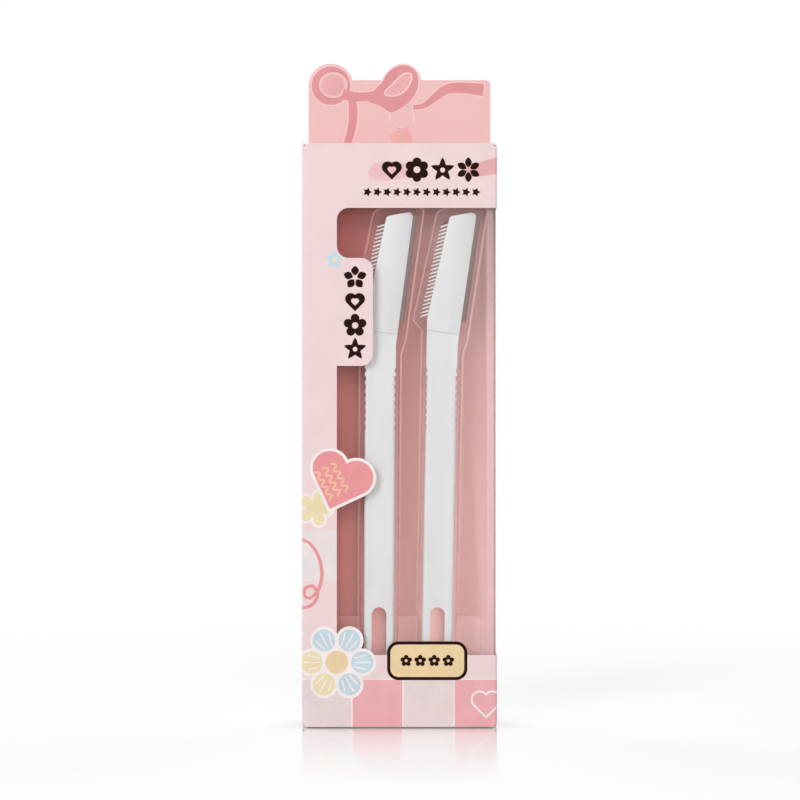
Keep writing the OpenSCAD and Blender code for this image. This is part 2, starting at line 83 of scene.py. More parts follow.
# Along the girth from the middle of the front: before the left side's back fold, and the back's edge
BAND_ENDS = (-42.5, 101.5)
# The window's left edge, the header's foot and the front of its front ply
WINDOW_X, HEADER_FOOT, HEADER_Y = -18.75, 175.0, 7.1

# A razor, upright with its foot at the origin
HANDLE_X, BLADE_BEND, COMB_BEND, RAZOR_LEN = 4.65, 109.0, 117.0, 149.5
COMB_TOP, HEAD_LEFT_X, HEAD_RIGHT_X = 147.9, 1.64, 9.77
BLADE_LEAN, BLADE_START, BLADE_LEN, BLADE_OUT, TOOTH_LEN = 7.2, 7.5, 32.0, 1.5, 2.5
HEAD_FOOT, HEAD_T, COMB_LEAN = 113.0, 3.4, 11.5
# How the pair sits in the tray: the middle of each foot and the lean in degrees, the depth and the height
RAZORS = {"left": (-6.3, 0.3), "right": (10.9, 1.0)}
RAZOR_Y, RAZOR_FOOT = -3.35, 5.4
TRAY_X, TRAY_Z, TRAY_Y = (-28.4, 28.2), (1.2, 172.75), (-5.95, 6.7)


# Colour and node helpers

def linear(hex_colour):
    """An sRGB hex colour as the linear colour that a socket takes."""
    parts = [int(hex_colour[i:i + 2], 16) / 255 for i in (1, 3, 5)]
    return tuple(p / 12.92 if p <= 0.04045 else ((p + 0.055) / 1.055) ** 2.4 for p in parts) + (1.0,)


def shade(colour, share):
    """A linear colour made darker or lighter by a share."""
    return tuple(min(1.0, c * share) for c in colour[:3]) + (1.0,)


def add(tree, kind, *values, **settings):
    """Adds a node with its settings, and sets or links its inputs, in their order or by name in one
    dict. A kind without a prefix is a shader node."""
    made = tree.nodes.new(kind if "Node" in kind else "ShaderNode" + kind)
    for key, value in settings.items():
        setattr(made, key, value)
    named = values[0] if values and isinstance(values[0], dict) else dict(enumerate(values))
    for key, value in named.items():
        if isinstance(value, bpy.types.Node):
            value = value.outputs[0]
        if isinstance(value, bpy.types.NodeSocket):
            tree.links.new(value, made.inputs[key])
        else:
            made.inputs[key].default_value = value
    return made


def new_material(name):
    """An empty material, its tree, and the object's own coordinates."""
    material = bpy.data.materials.new(name)
    material.use_nodes = True
    tree = material.node_tree
    tree.nodes.clear()
    return material, tree, add(tree, "TexCoord").outputs["Object"]


def grain(tree, place, size_mm, detail=2.0, stretch=(1, 1, 1)):
    """Noise whose features are size_mm wide, in object coordinates."""
    scaled = add(tree, "Mapping", {"Vector": place, "Scale": stretch})
    return add(tree, "TexNoise", {
        "Vector": scaled, "Scale": 1 / (size_mm * MM), "Detail": detail, "Roughness": 0.55})


def varied(tree, pattern, start, end, first, second, most=1.0):
    """A colour that goes from the first towards the second, by the share most, as a pattern goes
    from start to end."""
    share = add(tree, "MapRange", pattern, start, end, 0.0, most)
    return add(tree, "Mix", {0: share, 6: first, 7: second}, data_type="RGBA").outputs[2]


def surfaced(material, colour, rough, pattern, strength, depth, inputs):
    """The material with its surface, whose relief follows a pattern and is depth millimetres deep."""
    tree = material.node_tree
    bump = add(tree, "Bump", {"Strength": strength, "Distance": depth * MM, "Height": pattern})
    shader = add(tree, "BsdfPrincipled", {
        "Base Color": colour, "Roughness": rough, "Normal": bump, **inputs})
    add(tree, "OutputMaterial", shader)
    return material


# Materials

def border_wear(tree, place, low, high):
    """1 on the rim of a flat board piece, in X and Z, and 0 from 0.55 mm inwards."""
    axes = add(tree, "SeparateXYZ", place).outputs
    nearest = 1.0
    for axis in (0, 2):
        for limit, sign in ((low[axis], 1), (high[axis], -1)):
            over = add(tree, "Math", axes[axis], limit, operation="SUBTRACT")
            gap = add(tree, "Math", over, sign, operation="MULTIPLY")
            nearest = add(tree, "Math", nearest, gap, operation="MINIMUM")
    return add(tree, "MapRange", nearest, 0.0, 0.55 * MM, 1.0, 0.0)


def fold_wear(tree, place):
    """1 on the upright folds of the sleeve, where the print is stretched over the crease."""
    axes = add(tree, "SeparateXYZ", place).outputs
    worn = 1.0
    for axis, start, end in ((0, 28.2, 28.9), (1, 6.9, 7.5)):
        away = add(tree, "Math", axes[axis], operation="ABSOLUTE")
        near = add(tree, "MapRange", away, start * MM, end * MM)
        worn = add(tree, "Math", worn, near, operation="MULTIPLY")
    return worn


def rose_print_with_painted_shade(tree, place):
    """A rose print that is deep at the upper left of the window and fades to the right and the foot; its
    depth there is partly painted shade. It is a little greyer above and at its right border, which is painted
    shade."""
    apart = add(tree, "SeparateXYZ", place).outputs
    # Painted shade: greyer towards the top, as under the top of the window
    upper = varied(tree, apart["Z"], 75 * MM, 125 * MM, (1, 1, 1, 1), linear("#F2F2F2"))
    # Painted shade: greyer at the right border
    side = varied(tree, apart["X"], 20.5 * MM, 26 * MM, upper, linear("#E8EAEF"))
    # Deep rose towards the upper left: print, and in part painted shade
    slant = add(tree, "VectorMath", place, (32.0, 0.0, -2.0), operation="DOT_PRODUCT")
    return varied(tree, slant.outputs["Value"], -0.85, 0.15, linear("#EFAEA9"), side)


def printed_board(name, colour, wear=None, tint=None):
    """Bleached paperboard, offset printed under a matt water varnish. It is even and nearly matt,
    with a soft cloud from the press, a fibre texture, and pale scuffs where it is creased or cut.
    The fibres are 0.1 mm wide and are drawn at 0.9 mm, so that they show at all. Wear is "folds" or the
    corners of a flat piece, and tint makes a second colour that is multiplied over the first; the inside's
    tint carries painted shade."""
    material, tree, place = new_material(name)
    fibre = grain(tree, place, 0.9, 3.0, (1, 1, 0.6))
    ink = varied(tree, grain(tree, place, 14), 0.35, 0.65, shade(colour, 0.983), shade(colour, 1.015))
    ink = varied(tree, fibre, 0.45, 0.7, ink, shade(colour, 1.12), 0.1)
    if wear is not None:
        rim = fold_wear(tree, place) if wear == "folds" else border_wear(tree, place, *wear)
        flecks = add(tree, "MapRange", grain(tree, place, 0.5, 4.0), 0.52, 0.62, 0.0, 0.45)
        share = add(tree, "Math", rim, flecks, operation="MULTIPLY")
        ink = add(tree, "Mix", {0: share, 6: ink, 7: linear("#FBF4F2")}, data_type="RGBA").outputs[2]
    # The tint is multiplied over the ink: on the inside, a rose print with painted shade in it
    if tint is not None:
        ink = add(tree, "Mix", {0: 1.0, 6: ink, 7: tint(tree, place)}, data_type="RGBA",
                  blend_type="MULTIPLY").outputs[2]
    rough = add(tree, "MapRange", fibre, 0.3, 0.7, 0.46, 0.6)
    return surfaced(material, ink, rough, fibre, 0.12, 0.03, {"Specular IOR Level": 0.25})


def board_core(name):
    """The cut edge of the board: short bleached fibres, dry and white."""
    material, tree, place = new_material(name)
    fibre = grain(tree, place, 0.35, 4.0)
    paper = varied(tree, fibre, 0.3, 0.7, linear("#E9E0DC"), linear("#FBF7F4"))
    rough = add(tree, "MapRange", fibre, 0.0, 1.0, 0.8, 0.95)
    return surfaced(material, paper, rough, fibre, 0.3, 0.05, {"Specular IOR Level": 0.2})


def offset_ink(name, colour, gloss=0.25):
    """Process ink on the board: the board's fibre under it, and a slightly uneven film of colour."""
    material, tree, place = new_material(name)
    fibre = grain(tree, place, 0.8, 3.0)
    cloud = grain(tree, place, 7, 3.0)
    ink = varied(tree, cloud, 0.35, 0.65, shade(colour, 0.965), shade(colour, 1.03))
    ink = varied(tree, fibre, 0.5, 0.72, ink, shade(colour, 1.2), 0.12)
    rough = add(tree, "MapRange", fibre, 0.3, 0.7, 0.42, 0.55)
    return surfaced(material, ink, rough, fibre, 0.1, 0.03, {"Specular IOR Level": gloss})


def clear_pet(name, tint, index, rough, haze, ripple_mm, bend=None, cloud=None):
    """Clear extruded PET: what is behind it shows through, and the surface gives a thin gloss that grows at a
    slant from what the index gives head on. Rolling leaves slow ripples in film. A tray takes an added veil
    in the colour cloud where the mesh's own attribute says so: partly the whitening of the drawn sheet, and
    mostly painted highlight and painted glare."""
    material, tree, place = new_material(name)
    white = cloud or tint
    ripple = grain(tree, place, ripple_mm, 1.0, (1, 1, 0.35))
    bump = add(tree, "Bump", {"Strength": 0.25, "Distance": 0.15 * MM, "Height": ripple})
    fine = grain(tree, place, 1.6)
    gloss = add(tree, "BsdfPrincipled", {
        "Base Color": varied(tree, fine, 0.3, 0.7, shade(white, 0.94), white),
        "Roughness": add(tree, "MapRange", fine, 0.0, 1.0, rough, rough + 0.06),
        "Normal": bump, "IOR": 1.57})
    # Both faces of the sheet reflect alike, so the share comes from the slant and not from a ratio
    # that turns round inside the sheet
    slant = add(tree, "LayerWeight", {"Blend": 0.5, "Normal": bump}).outputs["Facing"]
    steep = add(tree, "Math", slant, 5.0, operation="POWER")
    head_on = ((index - 1) / (index + 1)) ** 2 + haze
    share = add(tree, "MapRange", steep, 0.0, 1.0, head_on, 1.0)
    sheet = add(tree, "MixShader", share, add(tree, "BsdfTransparent", tint), gloss)
    if bend is not None:
        # The veil is added to the clear sheet, so light still passes: some whitening of the drawn PET, mostly
        # painted highlight and painted glare
        drawn = add(tree, "Attribute", attribute_name="bend", attribute_type="GEOMETRY").outputs["Fac"]
        share = add(tree, "Math", drawn, bend, operation="MULTIPLY")
        veil = add(tree, "Mix", {0: share, 6: (0, 0, 0, 1), 7: white}, data_type="RGBA").outputs[2]
        sheet = add(tree, "AddShader", sheet, add(tree, "BsdfDiffuse", veil))
    add(tree, "OutputMaterial", sheet)
    return material


def moulded_polypropylene(name, colour):
    """White injection-moulded polypropylene: satin, a little translucent, with faint flow clouds and
    the fine texture of the mould, which the roughness follows."""
    material, tree, place = new_material(name)
    flow = grain(tree, place, 9, 2.0, (1, 1, 0.3))
    texture = grain(tree, place, 0.5, 3.0)
    resin = varied(tree, flow, 0.35, 0.65, shade(colour, 0.965), shade(colour, 1.01))
    rough = add(tree, "MapRange", texture, 0.3, 0.7, 0.3, 0.42)
    return surfaced(material, resin, rough, texture, 0.06, 0.04, {
        "IOR": 1.49, "Subsurface Weight": 0.12, "Subsurface Scale": 1.0,
        "Subsurface Radius": (0.9 * MM, 0.8 * MM, 0.75 * MM)})


def ground_stainless(name, colour, across):
    """Cold-rolled stainless strip, ground across its edge. The grinding lines are 0.02 mm apart and
    are drawn at 0.15 mm; they spread the reflection and leave the strip grey rather than bright."""
    material, tree, place = new_material(name)
    lines = grain(tree, place, 0.15, 2.0, across)
    steel = varied(tree, lines, 0.3, 0.7, shade(colour, 0.86), shade(colour, 1.08))
    steel = varied(tree, grain(tree, place, 4), 0.4, 0.7, steel, shade(colour, 0.7), 0.25)
    rough = add(tree, "MapRange", lines, 0.0, 1.0, 0.3, 0.42)
    return surfaced(material, steel, rough, lines, 0.12, 0.02, {"Metallic": 1.0})


# Mesh helpers

def linked(name, mesh):
    made = bpy.data.objects.new(name, mesh)
    bpy.context.scene.collection.objects.link(made)
    return made


def plain_mesh(holder):
    """The holder's evaluated shape as a mesh of its own; the holder is removed."""
    bpy.context.view_layer.update()
    graph = bpy.context.evaluated_depsgraph_get()
    mesh = bpy.data.meshes.new_from_object(holder.evaluated_get(graph), preserve_all_data_layers=True,
                                           depsgraph=graph)
    bpy.data.objects.remove(holder)
    return mesh


def finished(name, mesh, body, materials, nodes=(), modifiers=()):
    """Makes a mesh a piece of the object: modifiers applied, shaded smooth with flat faces kept flat,
    and riding on its body. Modifiers are (type, settings) pairs."""
    mesh.shade_smooth()
    made = as_bmesh(mesh)
    for edge in made.edges:
        edge.smooth = len(edge.link_faces) == 2 and edge.calc_face_angle() < math.radians(35)
    made.to_mesh(mesh)
    made.free()
    holder = linked(name + "_raw", mesh)
    for kind, settings in (*modifiers, ("WEIGHTED_NORMAL", {"keep_sharp": True})):
        modifier = holder.modifiers.new(kind.lower(), kind)
        for key, value in settings.items():
            setattr(modifier, key, value)
    piece = linked(name, plain_mesh(holder))
    piece.data.name = name
    # Clearing the list sets every face to the first material, so an empty one is left alone
    if piece.data.materials:
        piece.data.materials.clear()
    for material in materials:
        piece.data.materials.append(material)
    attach(piece, body)
    if nodes:
        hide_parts(*nodes)


def node_copy(node):
    """The merged mesh of a CAD node, in metres, as a bmesh."""
    made = as_bmesh(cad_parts[node].data)
    bmesh.ops.remove_doubles(made, verts=made.verts, dist=0.002 * MM)
    bmesh.ops.dissolve_limit(made, angle_limit=math.radians(0.5), verts=made.verts, edges=made.edges)
    return made


def as_bmesh(mesh):
    made = bmesh.new()
    made.from_mesh(mesh)
    return made


def as_mesh(name, made):
    mesh = bpy.data.meshes.new(name)
    made.to_mesh(mesh)
    made.free()
    return mesh


def cut(made, place, way, **more):
    """Cuts a bmesh along the plane through a place, square to a way."""
    bmesh.ops.bisect_plane(made, geom=made.verts[:] + made.edges[:] + made.faces[:], plane_co=place,
                           plane_no=way, **more)


def razor_place(side):
    """From a razor's own upright frame to its place in the tray, in millimetres."""
    x0, lean = RAZORS[side]
    return Matrix.Translation((x0, RAZOR_Y, RAZOR_FOOT)) @ Matrix.Rotation(math.radians(lean), 4, "Y")


def rule_mesh(name, tree, **values):
    """Runs a Geometry Nodes tree with named inputs and returns its plain mesh."""
    holder = linked(name, bpy.data.meshes.new(name))
    modifier = holder.modifiers.new(name, "NODES")
    modifier.node_group = tree
    sockets = {s.name: s.identifier for s in tree.interface.items_tree if s.in_out == "INPUT"}
    for key, value in values.items():
        modifier[sockets[key]] = value
    return plain_mesh(holder)


# Flat outlines: lists of (x, z) points in millimetres

def at(cx, cz, r, degrees):
    """The point at a distance and an angle from a middle."""
    a = math.radians(degrees)
    return cx + r * math.cos(a), cz + r * math.sin(a)


def turned(points, cx, cz, degrees):
    """Points turned about the origin and then moved by cx and cz."""
    a = math.radians(degrees)
    return [(cx + x * math.cos(a) - z * math.sin(a), cz + x * math.sin(a) + z * math.cos(a))
            for x, z in points]


def arc(cx, cz, r, start, end, count):
    """Points from one angle to another, in degrees."""
    return [at(cx, cz, r, start + (end - start) * i / count) for i in range(count + 1)]


def disc(cx, cz, r):
    return arc(cx, cz, r, 0, 360, 48)[:-1]


def oval(cx, cz, rx, rz):
    return [(cx + x * rx, cz + z * rz) for x, z in disc(0, 0, 1)]


def rectangle(x0, z0, x1, z1, r=0.0):
    if r <= 0:
        return [(x0, z0), (x1, z0), (x1, z1), (x0, z1)]
    corners = [(x1 - r, z0 + r, -90), (x1 - r, z1 - r, 0), (x0 + r, z1 - r, 90), (x0 + r, z0 + r, 180)]
    return [p for cx, cz, a in corners for p in arc(cx, cz, r, a, a + 90, 8)]


def polar(cx, cz, reach, turn, count):
    """The outline at distance reach(angle) from its middle, with all angles in degrees."""
    angles = [360 * i / count for i in range(count)]
    return [at(cx, cz, reach(angle), angle + turn) for angle in angles]


def circle_reach(angle, cx, cz, r):
    """How far along a ray from the middle a circle's far side is, or 0."""
    a = math.radians(angle)
    along = cx * math.cos(a) + cz * math.sin(a)
    room = along * along - cx * cx - cz * cz + r * r
    return max(0.0, along + math.sqrt(room)) if room >= 0 else 0.0


def heart(cx, cz, r, turn=0.0, inset=0.0):
    """A tilted square with a lobe on each upper side, as the board is cut, or smaller by inset."""
    def reach(angle):
        a = math.radians(angle)
        square = (r - inset) / max(abs(math.cos(a)), abs(math.sin(a)))
        return max(square, circle_reach(angle, r, 0, r - inset), circle_reach(angle, 0, r, r - inset))

    return polar(cx, cz, reach, 45 + turn, 160)


def blossom(cx, cz, ring, petal, petals=6, turn=0.0, inset=0.0):
    """A ring of round petals on a disc."""
    def reach(angle):
        near = round(angle / (360 / petals)) * 360 / petals
        return max(ring - inset, circle_reach(angle, *at(0, 0, ring, near), petal - inset))

    return polar(cx, cz, reach, turn, 180)


def star(cx, cz, outer, inner):
    """An upright star with five softened tips."""
    def reach(angle):
        phase = abs((angle / 360 * 5) % 1 - 0.5) * 2
        return inner + (outer - inner) * phase ** 1.6

    return polar(cx, cz, reach, 90, 100)


def leaf(cx, cz, length, width, turn):
    """A pointed oval, such as a leaf or a narrow petal."""
    made = []
    for sign in (1, -1):
        for i in range(14):
            t = i / 14 if sign > 0 else 1 - i / 14
            made.append(((t - 0.5) * length, sign * width / 2 * math.sin(math.pi * t) ** 0.8))
    return turned(made, cx, cz, turn)


def curve_points(points, closed=False):
    """A smooth line through points, each of which may carry a width as its third number."""
    made = []
    points = list(points)
    padded = [points[-1], *points, *points[:2]] if closed else [points[0], *points, points[-1]]
    for i in range(1, len(padded) - 2):
        a, b, c, d = (np.array(p, float) for p in padded[i - 1:i + 3])
        for k in range(10):
            t = k / 10
            made.append(0.5 * (2 * b + (c - a) * t + (2 * a - 5 * b + 4 * c - d) * t * t
                               + (3 * b - 3 * c + d - a) * t ** 3))
    return made if closed else made + [np.array(points[-1], float)]


def ribbon(points, grow=0.0):
    """A band along a smooth line of (x, z, width) points, wider on each side by grow."""
    line = curve_points(points)
    left, right = [], []
    for i, p in enumerate(line):
        way = line[min(i + 1, len(line) - 1)][:2] - line[max(i - 1, 0)][:2]
        way = way / max(1e-9, float(np.hypot(*way)))
        side = np.array((-way[1], way[0])) * (p[2] / 2 + grow)
        end = way * (grow if i == len(line) - 1 else -grow if i == 0 else 0)
        left.append(tuple(p[:2] + side + end))
        right.append(tuple(p[:2] - side + end))
    return left + right[::-1]


def clipped(loop, foot):
    """The part of a loop above a height."""
    made = []
    for here, after in zip(loop, loop[1:] + loop[:1]):
        inside, next_inside = here[1] >= foot, after[1] >= foot
        if inside:
            made.append(here)
        if inside != next_inside:
            t = (foot - here[1]) / (after[1] - here[1])
            made.append((here[0] + (after[0] - here[0]) * t, here[1] + (after[1] - here[1]) * t))
    return made


def filled(loops):
    """A flat mesh in X and Y that fills the loops; a loop inside another is left open."""
    curve = bpy.data.curves.new("fill", "CURVE")
    curve.dimensions = "2D"
    curve.fill_mode = "BOTH"
    for loop in loops:
        spline = curve.splines.new("POLY")
        spline.points.add(len(loop) - 1)
        spline.points.foreach_set("co", [c for p in loop for c in (p[0], p[1], 0.0, 1.0)])
        spline.use_cyclic_u = True
    return plain_mesh(linked("fill", curve))


def on_sleeve(u, z, layer):
    """The place of a print on the sleeve, u along the girth from the middle of the front."""
    r = FOLD_R - INK_ROOM + INK_STEP * layer
    side, s = (1 if u >= 0 else -1), abs(u)
    if s <= FLAT_X + 0.001:
        return (u, -FLAT_Y - r, max(z, FOOT_GAP + 0.02))
    z = min(max(z, SLEEVE_Z[0]), SLEEVE_Z[1])
    s -= FLAT_X
    if s <= FOLD_ARC:
        return (side * (FLAT_X + r * math.sin(s / FOLD_R)), -FLAT_Y - r * math.cos(s / FOLD_R), z)
    s -= FOLD_ARC
    if s <= 2 * FLAT_Y:
        return (side * (FLAT_X + r), -FLAT_Y + s, z)
    s -= 2 * FLAT_Y
    if s <= FOLD_ARC:
        return (side * (FLAT_X + r * math.cos(s / FOLD_R)), FLAT_Y + r * math.sin(s / FOLD_R), z)
    return (side * (FLAT_X - (s - FOLD_ARC)), FLAT_Y + r, z)


def wrapped(mesh, layer):
    """Lays a flat print on the sleeve, cut where it bends round a fold."""
    made = as_bmesh(mesh)
    us = [v.co.x for v in made.verts]
    for start in (FLAT_X, FLAT_X + FOLD_ARC + 2 * FLAT_Y):
        for side in (-1, 1):
            for k in range(7):
                u = side * (start + FOLD_ARC * k / 6)
                if min(us) < u < max(us):
                    cut(made, (u, 0, 0), (1, 0, 0), dist=1e-5)
    for v in made.verts:
        v.co = Vector(on_sleeve(v.co.x, v.co.y, layer)) * MM
    return as_mesh("print", made)


def sleeve_print(name, source, ink, layer):
    """A print on the sleeve, from loops or from a flat mesh in millimetres."""
    mesh = filled(source) if isinstance(source, list) else source
    finished(name, wrapped(mesh, layer), "carton", [ink])


def header_print(name, loops, ink, layer):
    """A print on the front of the header, cut off at the front panel's top edge."""
    loops = [clipped(loop, HEADER_FOOT + 0.05) for loop in loops]
    mesh = filled([loop for loop in loops if len(loop) > 2])
    mesh.transform(Matrix.Rotation(math.pi / 2, 4, "X"))
    mesh.transform(Matrix.Translation((0, HEADER_Y - HEADER_INK_STEP * layer, 0)))
    mesh.transform(Matrix.Scale(MM, 4))
    finished(name, mesh, "carton", [ink])


# Geometry Nodes trees

def new_tree(name, sockets):
    """An empty tree with named inputs, and the node that gives them."""
    tree = bpy.data.node_groups.new(name, "GeometryNodeTree")
    tree.interface.new_socket("Geometry", in_out="OUTPUT", socket_type="NodeSocketGeometry")
    for label, kind, value in sockets:
        socket = tree.interface.new_socket(label, in_out="INPUT", socket_type="NodeSocket" + kind)
        if value is not None:
            socket.default_value = value
    return tree, add(tree, "NodeGroupInput").outputs


def close_tree(tree, count, axis, pitch, shape, material):
    """Ends a tree with a row of shapes along an axis, made real and given a material."""
    step = add(tree, "CombineXYZ", {axis: pitch})
    line = add(tree, "GeometryNodeMeshLine", {"Count": count, "Offset": step}, mode="OFFSET")
    row = add(tree, "GeometryNodeInstanceOnPoints", {"Points": line, "Instance": shape})
    real = add(tree, "GeometryNodeRealizeInstances", row)
    add(tree, "NodeGroupOutput",
        add(tree, "GeometryNodeSetMaterial", {"Geometry": real, "Material": material}))
    return tree


def row_of_stars():
    """A row of small printed stars."""
    tree, given = new_tree("row_of_stars", [
        ("Count", "Int", 12), ("Pitch", "Float", 3.0), ("Points", "Int", 5), ("Outer Radius", "Float", 1.4),
        ("Inner Radius", "Float", 0.7), ("Ink", "Material", None)])
    outline = add(tree, "GeometryNodeCurveStar", {
        label: given[label] for label in ("Points", "Inner Radius", "Outer Radius")})
    mark = add(tree, "GeometryNodeFillCurve", outline)
    return close_tree(tree, given["Count"], 0, given["Pitch"], mark, given["Ink"])


def check_squares():
    """Every second square of a band of squares."""
    tree, given = new_tree("check_squares", [
        ("Count", "Int", 4), ("Square", "Float", 15.0), ("Height", "Float", 14.0), ("Ink", "Material", None)])
    square = add(tree, "GeometryNodeMeshGrid", {
        "Size X": given["Square"], "Size Y": given["Height"], "Vertices X": 2, "Vertices Y": 2})
    half = add(tree, "CombineXYZ", *(add(tree, "Math", given[label], 0.5, operation="MULTIPLY")
                                     for label in ("Square", "Height")))
    moved = add(tree, "GeometryNodeTransform", {"Geometry": square, "Translation": half})
    pitch = add(tree, "Math", given["Square"], 2.0, operation="MULTIPLY")
    return close_tree(tree, given["Count"], 0, pitch, moved, given["Ink"])


def guard_ridges():
    """The fine ribs of the skin guard, folded over the blade's edge at an even pitch."""
    tree, given = new_tree("guard_ridges", [
        ("Count", "Int", 34), ("Pitch", "Float", 0.94), ("Size", "Vector", (1.4, 0.5, 0.2)),
        ("Steel", "Material", None)])
    rib = add(tree, "GeometryNodeMeshCube", {"Size": given["Size"]})
    return close_tree(tree, given["Count"], 2, given["Pitch"], rib, given["Steel"])


# The settings that a user would change

def paint(name, description, hex_colour):
    return FloatVectorProperty(name=name, description=description, subtype="COLOR", size=3,
                               min=0.0, max=1.0, default=linear(hex_colour)[:3])


def measure(name, description, default, unit="LENGTH"):
    return FloatProperty(name=name, description=description, default=default, unit=unit)


class CartonColours(bpy.types.PropertyGroup):
    front: paint("Front board", "Pale pink of the carton's sleeve", "#F2D9DA")
    header: paint("Header board", "Stronger pink of the header and back", "#F2C5C3")
    inside: paint("Inside", "Pink of the board's inner face", "#F7C9C4")
    ribbon: paint("Ribbon", "Coral pink of the bow", "#E3999C")
    outline: paint("Ribbon outline", "Light line round the bow", "#FDCFCE")
    coral: paint("Coral", "Heart badge and the curl below it", "#EE9B9D")
    cream: paint("Cream", "Small flower and two petals of the blossom badge", "#F3E1B6")
    plaque: paint("Plaque", "Ground of the plaque and middle of the blossom badge", "#F1D6A8")
    apricot: paint("Apricot", "Waves on the heart badge", "#F6C3A0")
    blue: paint("Blue", "Petals of the blossom badge", "#C9DDE8")
    brown: paint("Brown", "Dark ornaments and the plaque's border", "#27130E")
    white: paint("White", "Badge borders and thin lines", "#FBF1F0")
    check: paint("Check", "Pink squares of the band", "#F0B2B6")
    check_pale: paint("Pale check", "Pale squares of the band", "#ECDADA")
    plastic: paint("Razor", "White moulded plastic", "#EBEBEB")
    steel: paint("Blade", "Ground stainless steel", "#968380")


class PrintSizes(bpy.types.PropertyGroup):
    check_square: measure("Check square", "Width of a square in the bottom band", 0.01525)
    check_height: measure("Band height", "Height of the bottom band", 0.0144)
    badge_border: measure("Badge border", "White border of the heart and blossom", 0.0009)
    plaque_border: measure("Plaque border", "Dark border of the plaque", 0.00095)
    guard_ribs: IntProperty(name="Guard ribs", description="Ribs of the skin guard on each blade",
                            min=8, max=60, default=34)


class TraySizes(bpy.types.PropertyGroup):
    rim_radius: measure("Rim radius", "Radius where the sheet turns into a cavity", 0.0007)
    floor_radius: measure("Floor radius", "Radius at the foot of a cavity's wall", 0.0006)
    cavity_depth: measure("Cavity depth", "Depth of a razor's cavity", 0.005)
    thumb_depth: measure("Thumb recess", "Depth of the thumb recess", 0.002)


class StudioSettings(bpy.types.PropertyGroup):
    camera_distance: measure("Camera distance", "From the lens to the front panel", 0.75)
    view_width: measure("View width", "Width that the picture takes in at the front panel", 0.2393)
    dome: FloatProperty(name="Dome", description="Strength of the even light from all round",
                        min=0.0, max=2.0, default=0.17)
    key: measure("Key lamp", "Power of the lamp at the upper left, in watts", 15.0, "POWER")
    front: measure("Front lamp", "Power of the lamp above the camera, in watts", 5.5, "POWER")
    fill: measure("Fill lamp", "Power of the low lamp by the camera, in watts", 5.8, "POWER")
    back: measure("Back lamps", "Power of each lamp behind, for the carton's other sides", 27.0, "POWER")


def colour(name):
    """A colour of the carton as a linear colour with alpha."""
    return tuple(getattr(bpy.context.scene.carton_colours, name)) + (1.0,)


def inked(name):
    """The ink of that colour, made once."""
    label = "offset_ink_" + name
    return bpy.data.materials.get(label) or offset_ink(label, colour(name), 0.05 if name == "brown" else 0.25)


def shared(label, build, *values):
    """A material that several pieces share, made once."""
    return bpy.data.materials.get(label) or build(label, *values)


# Operators

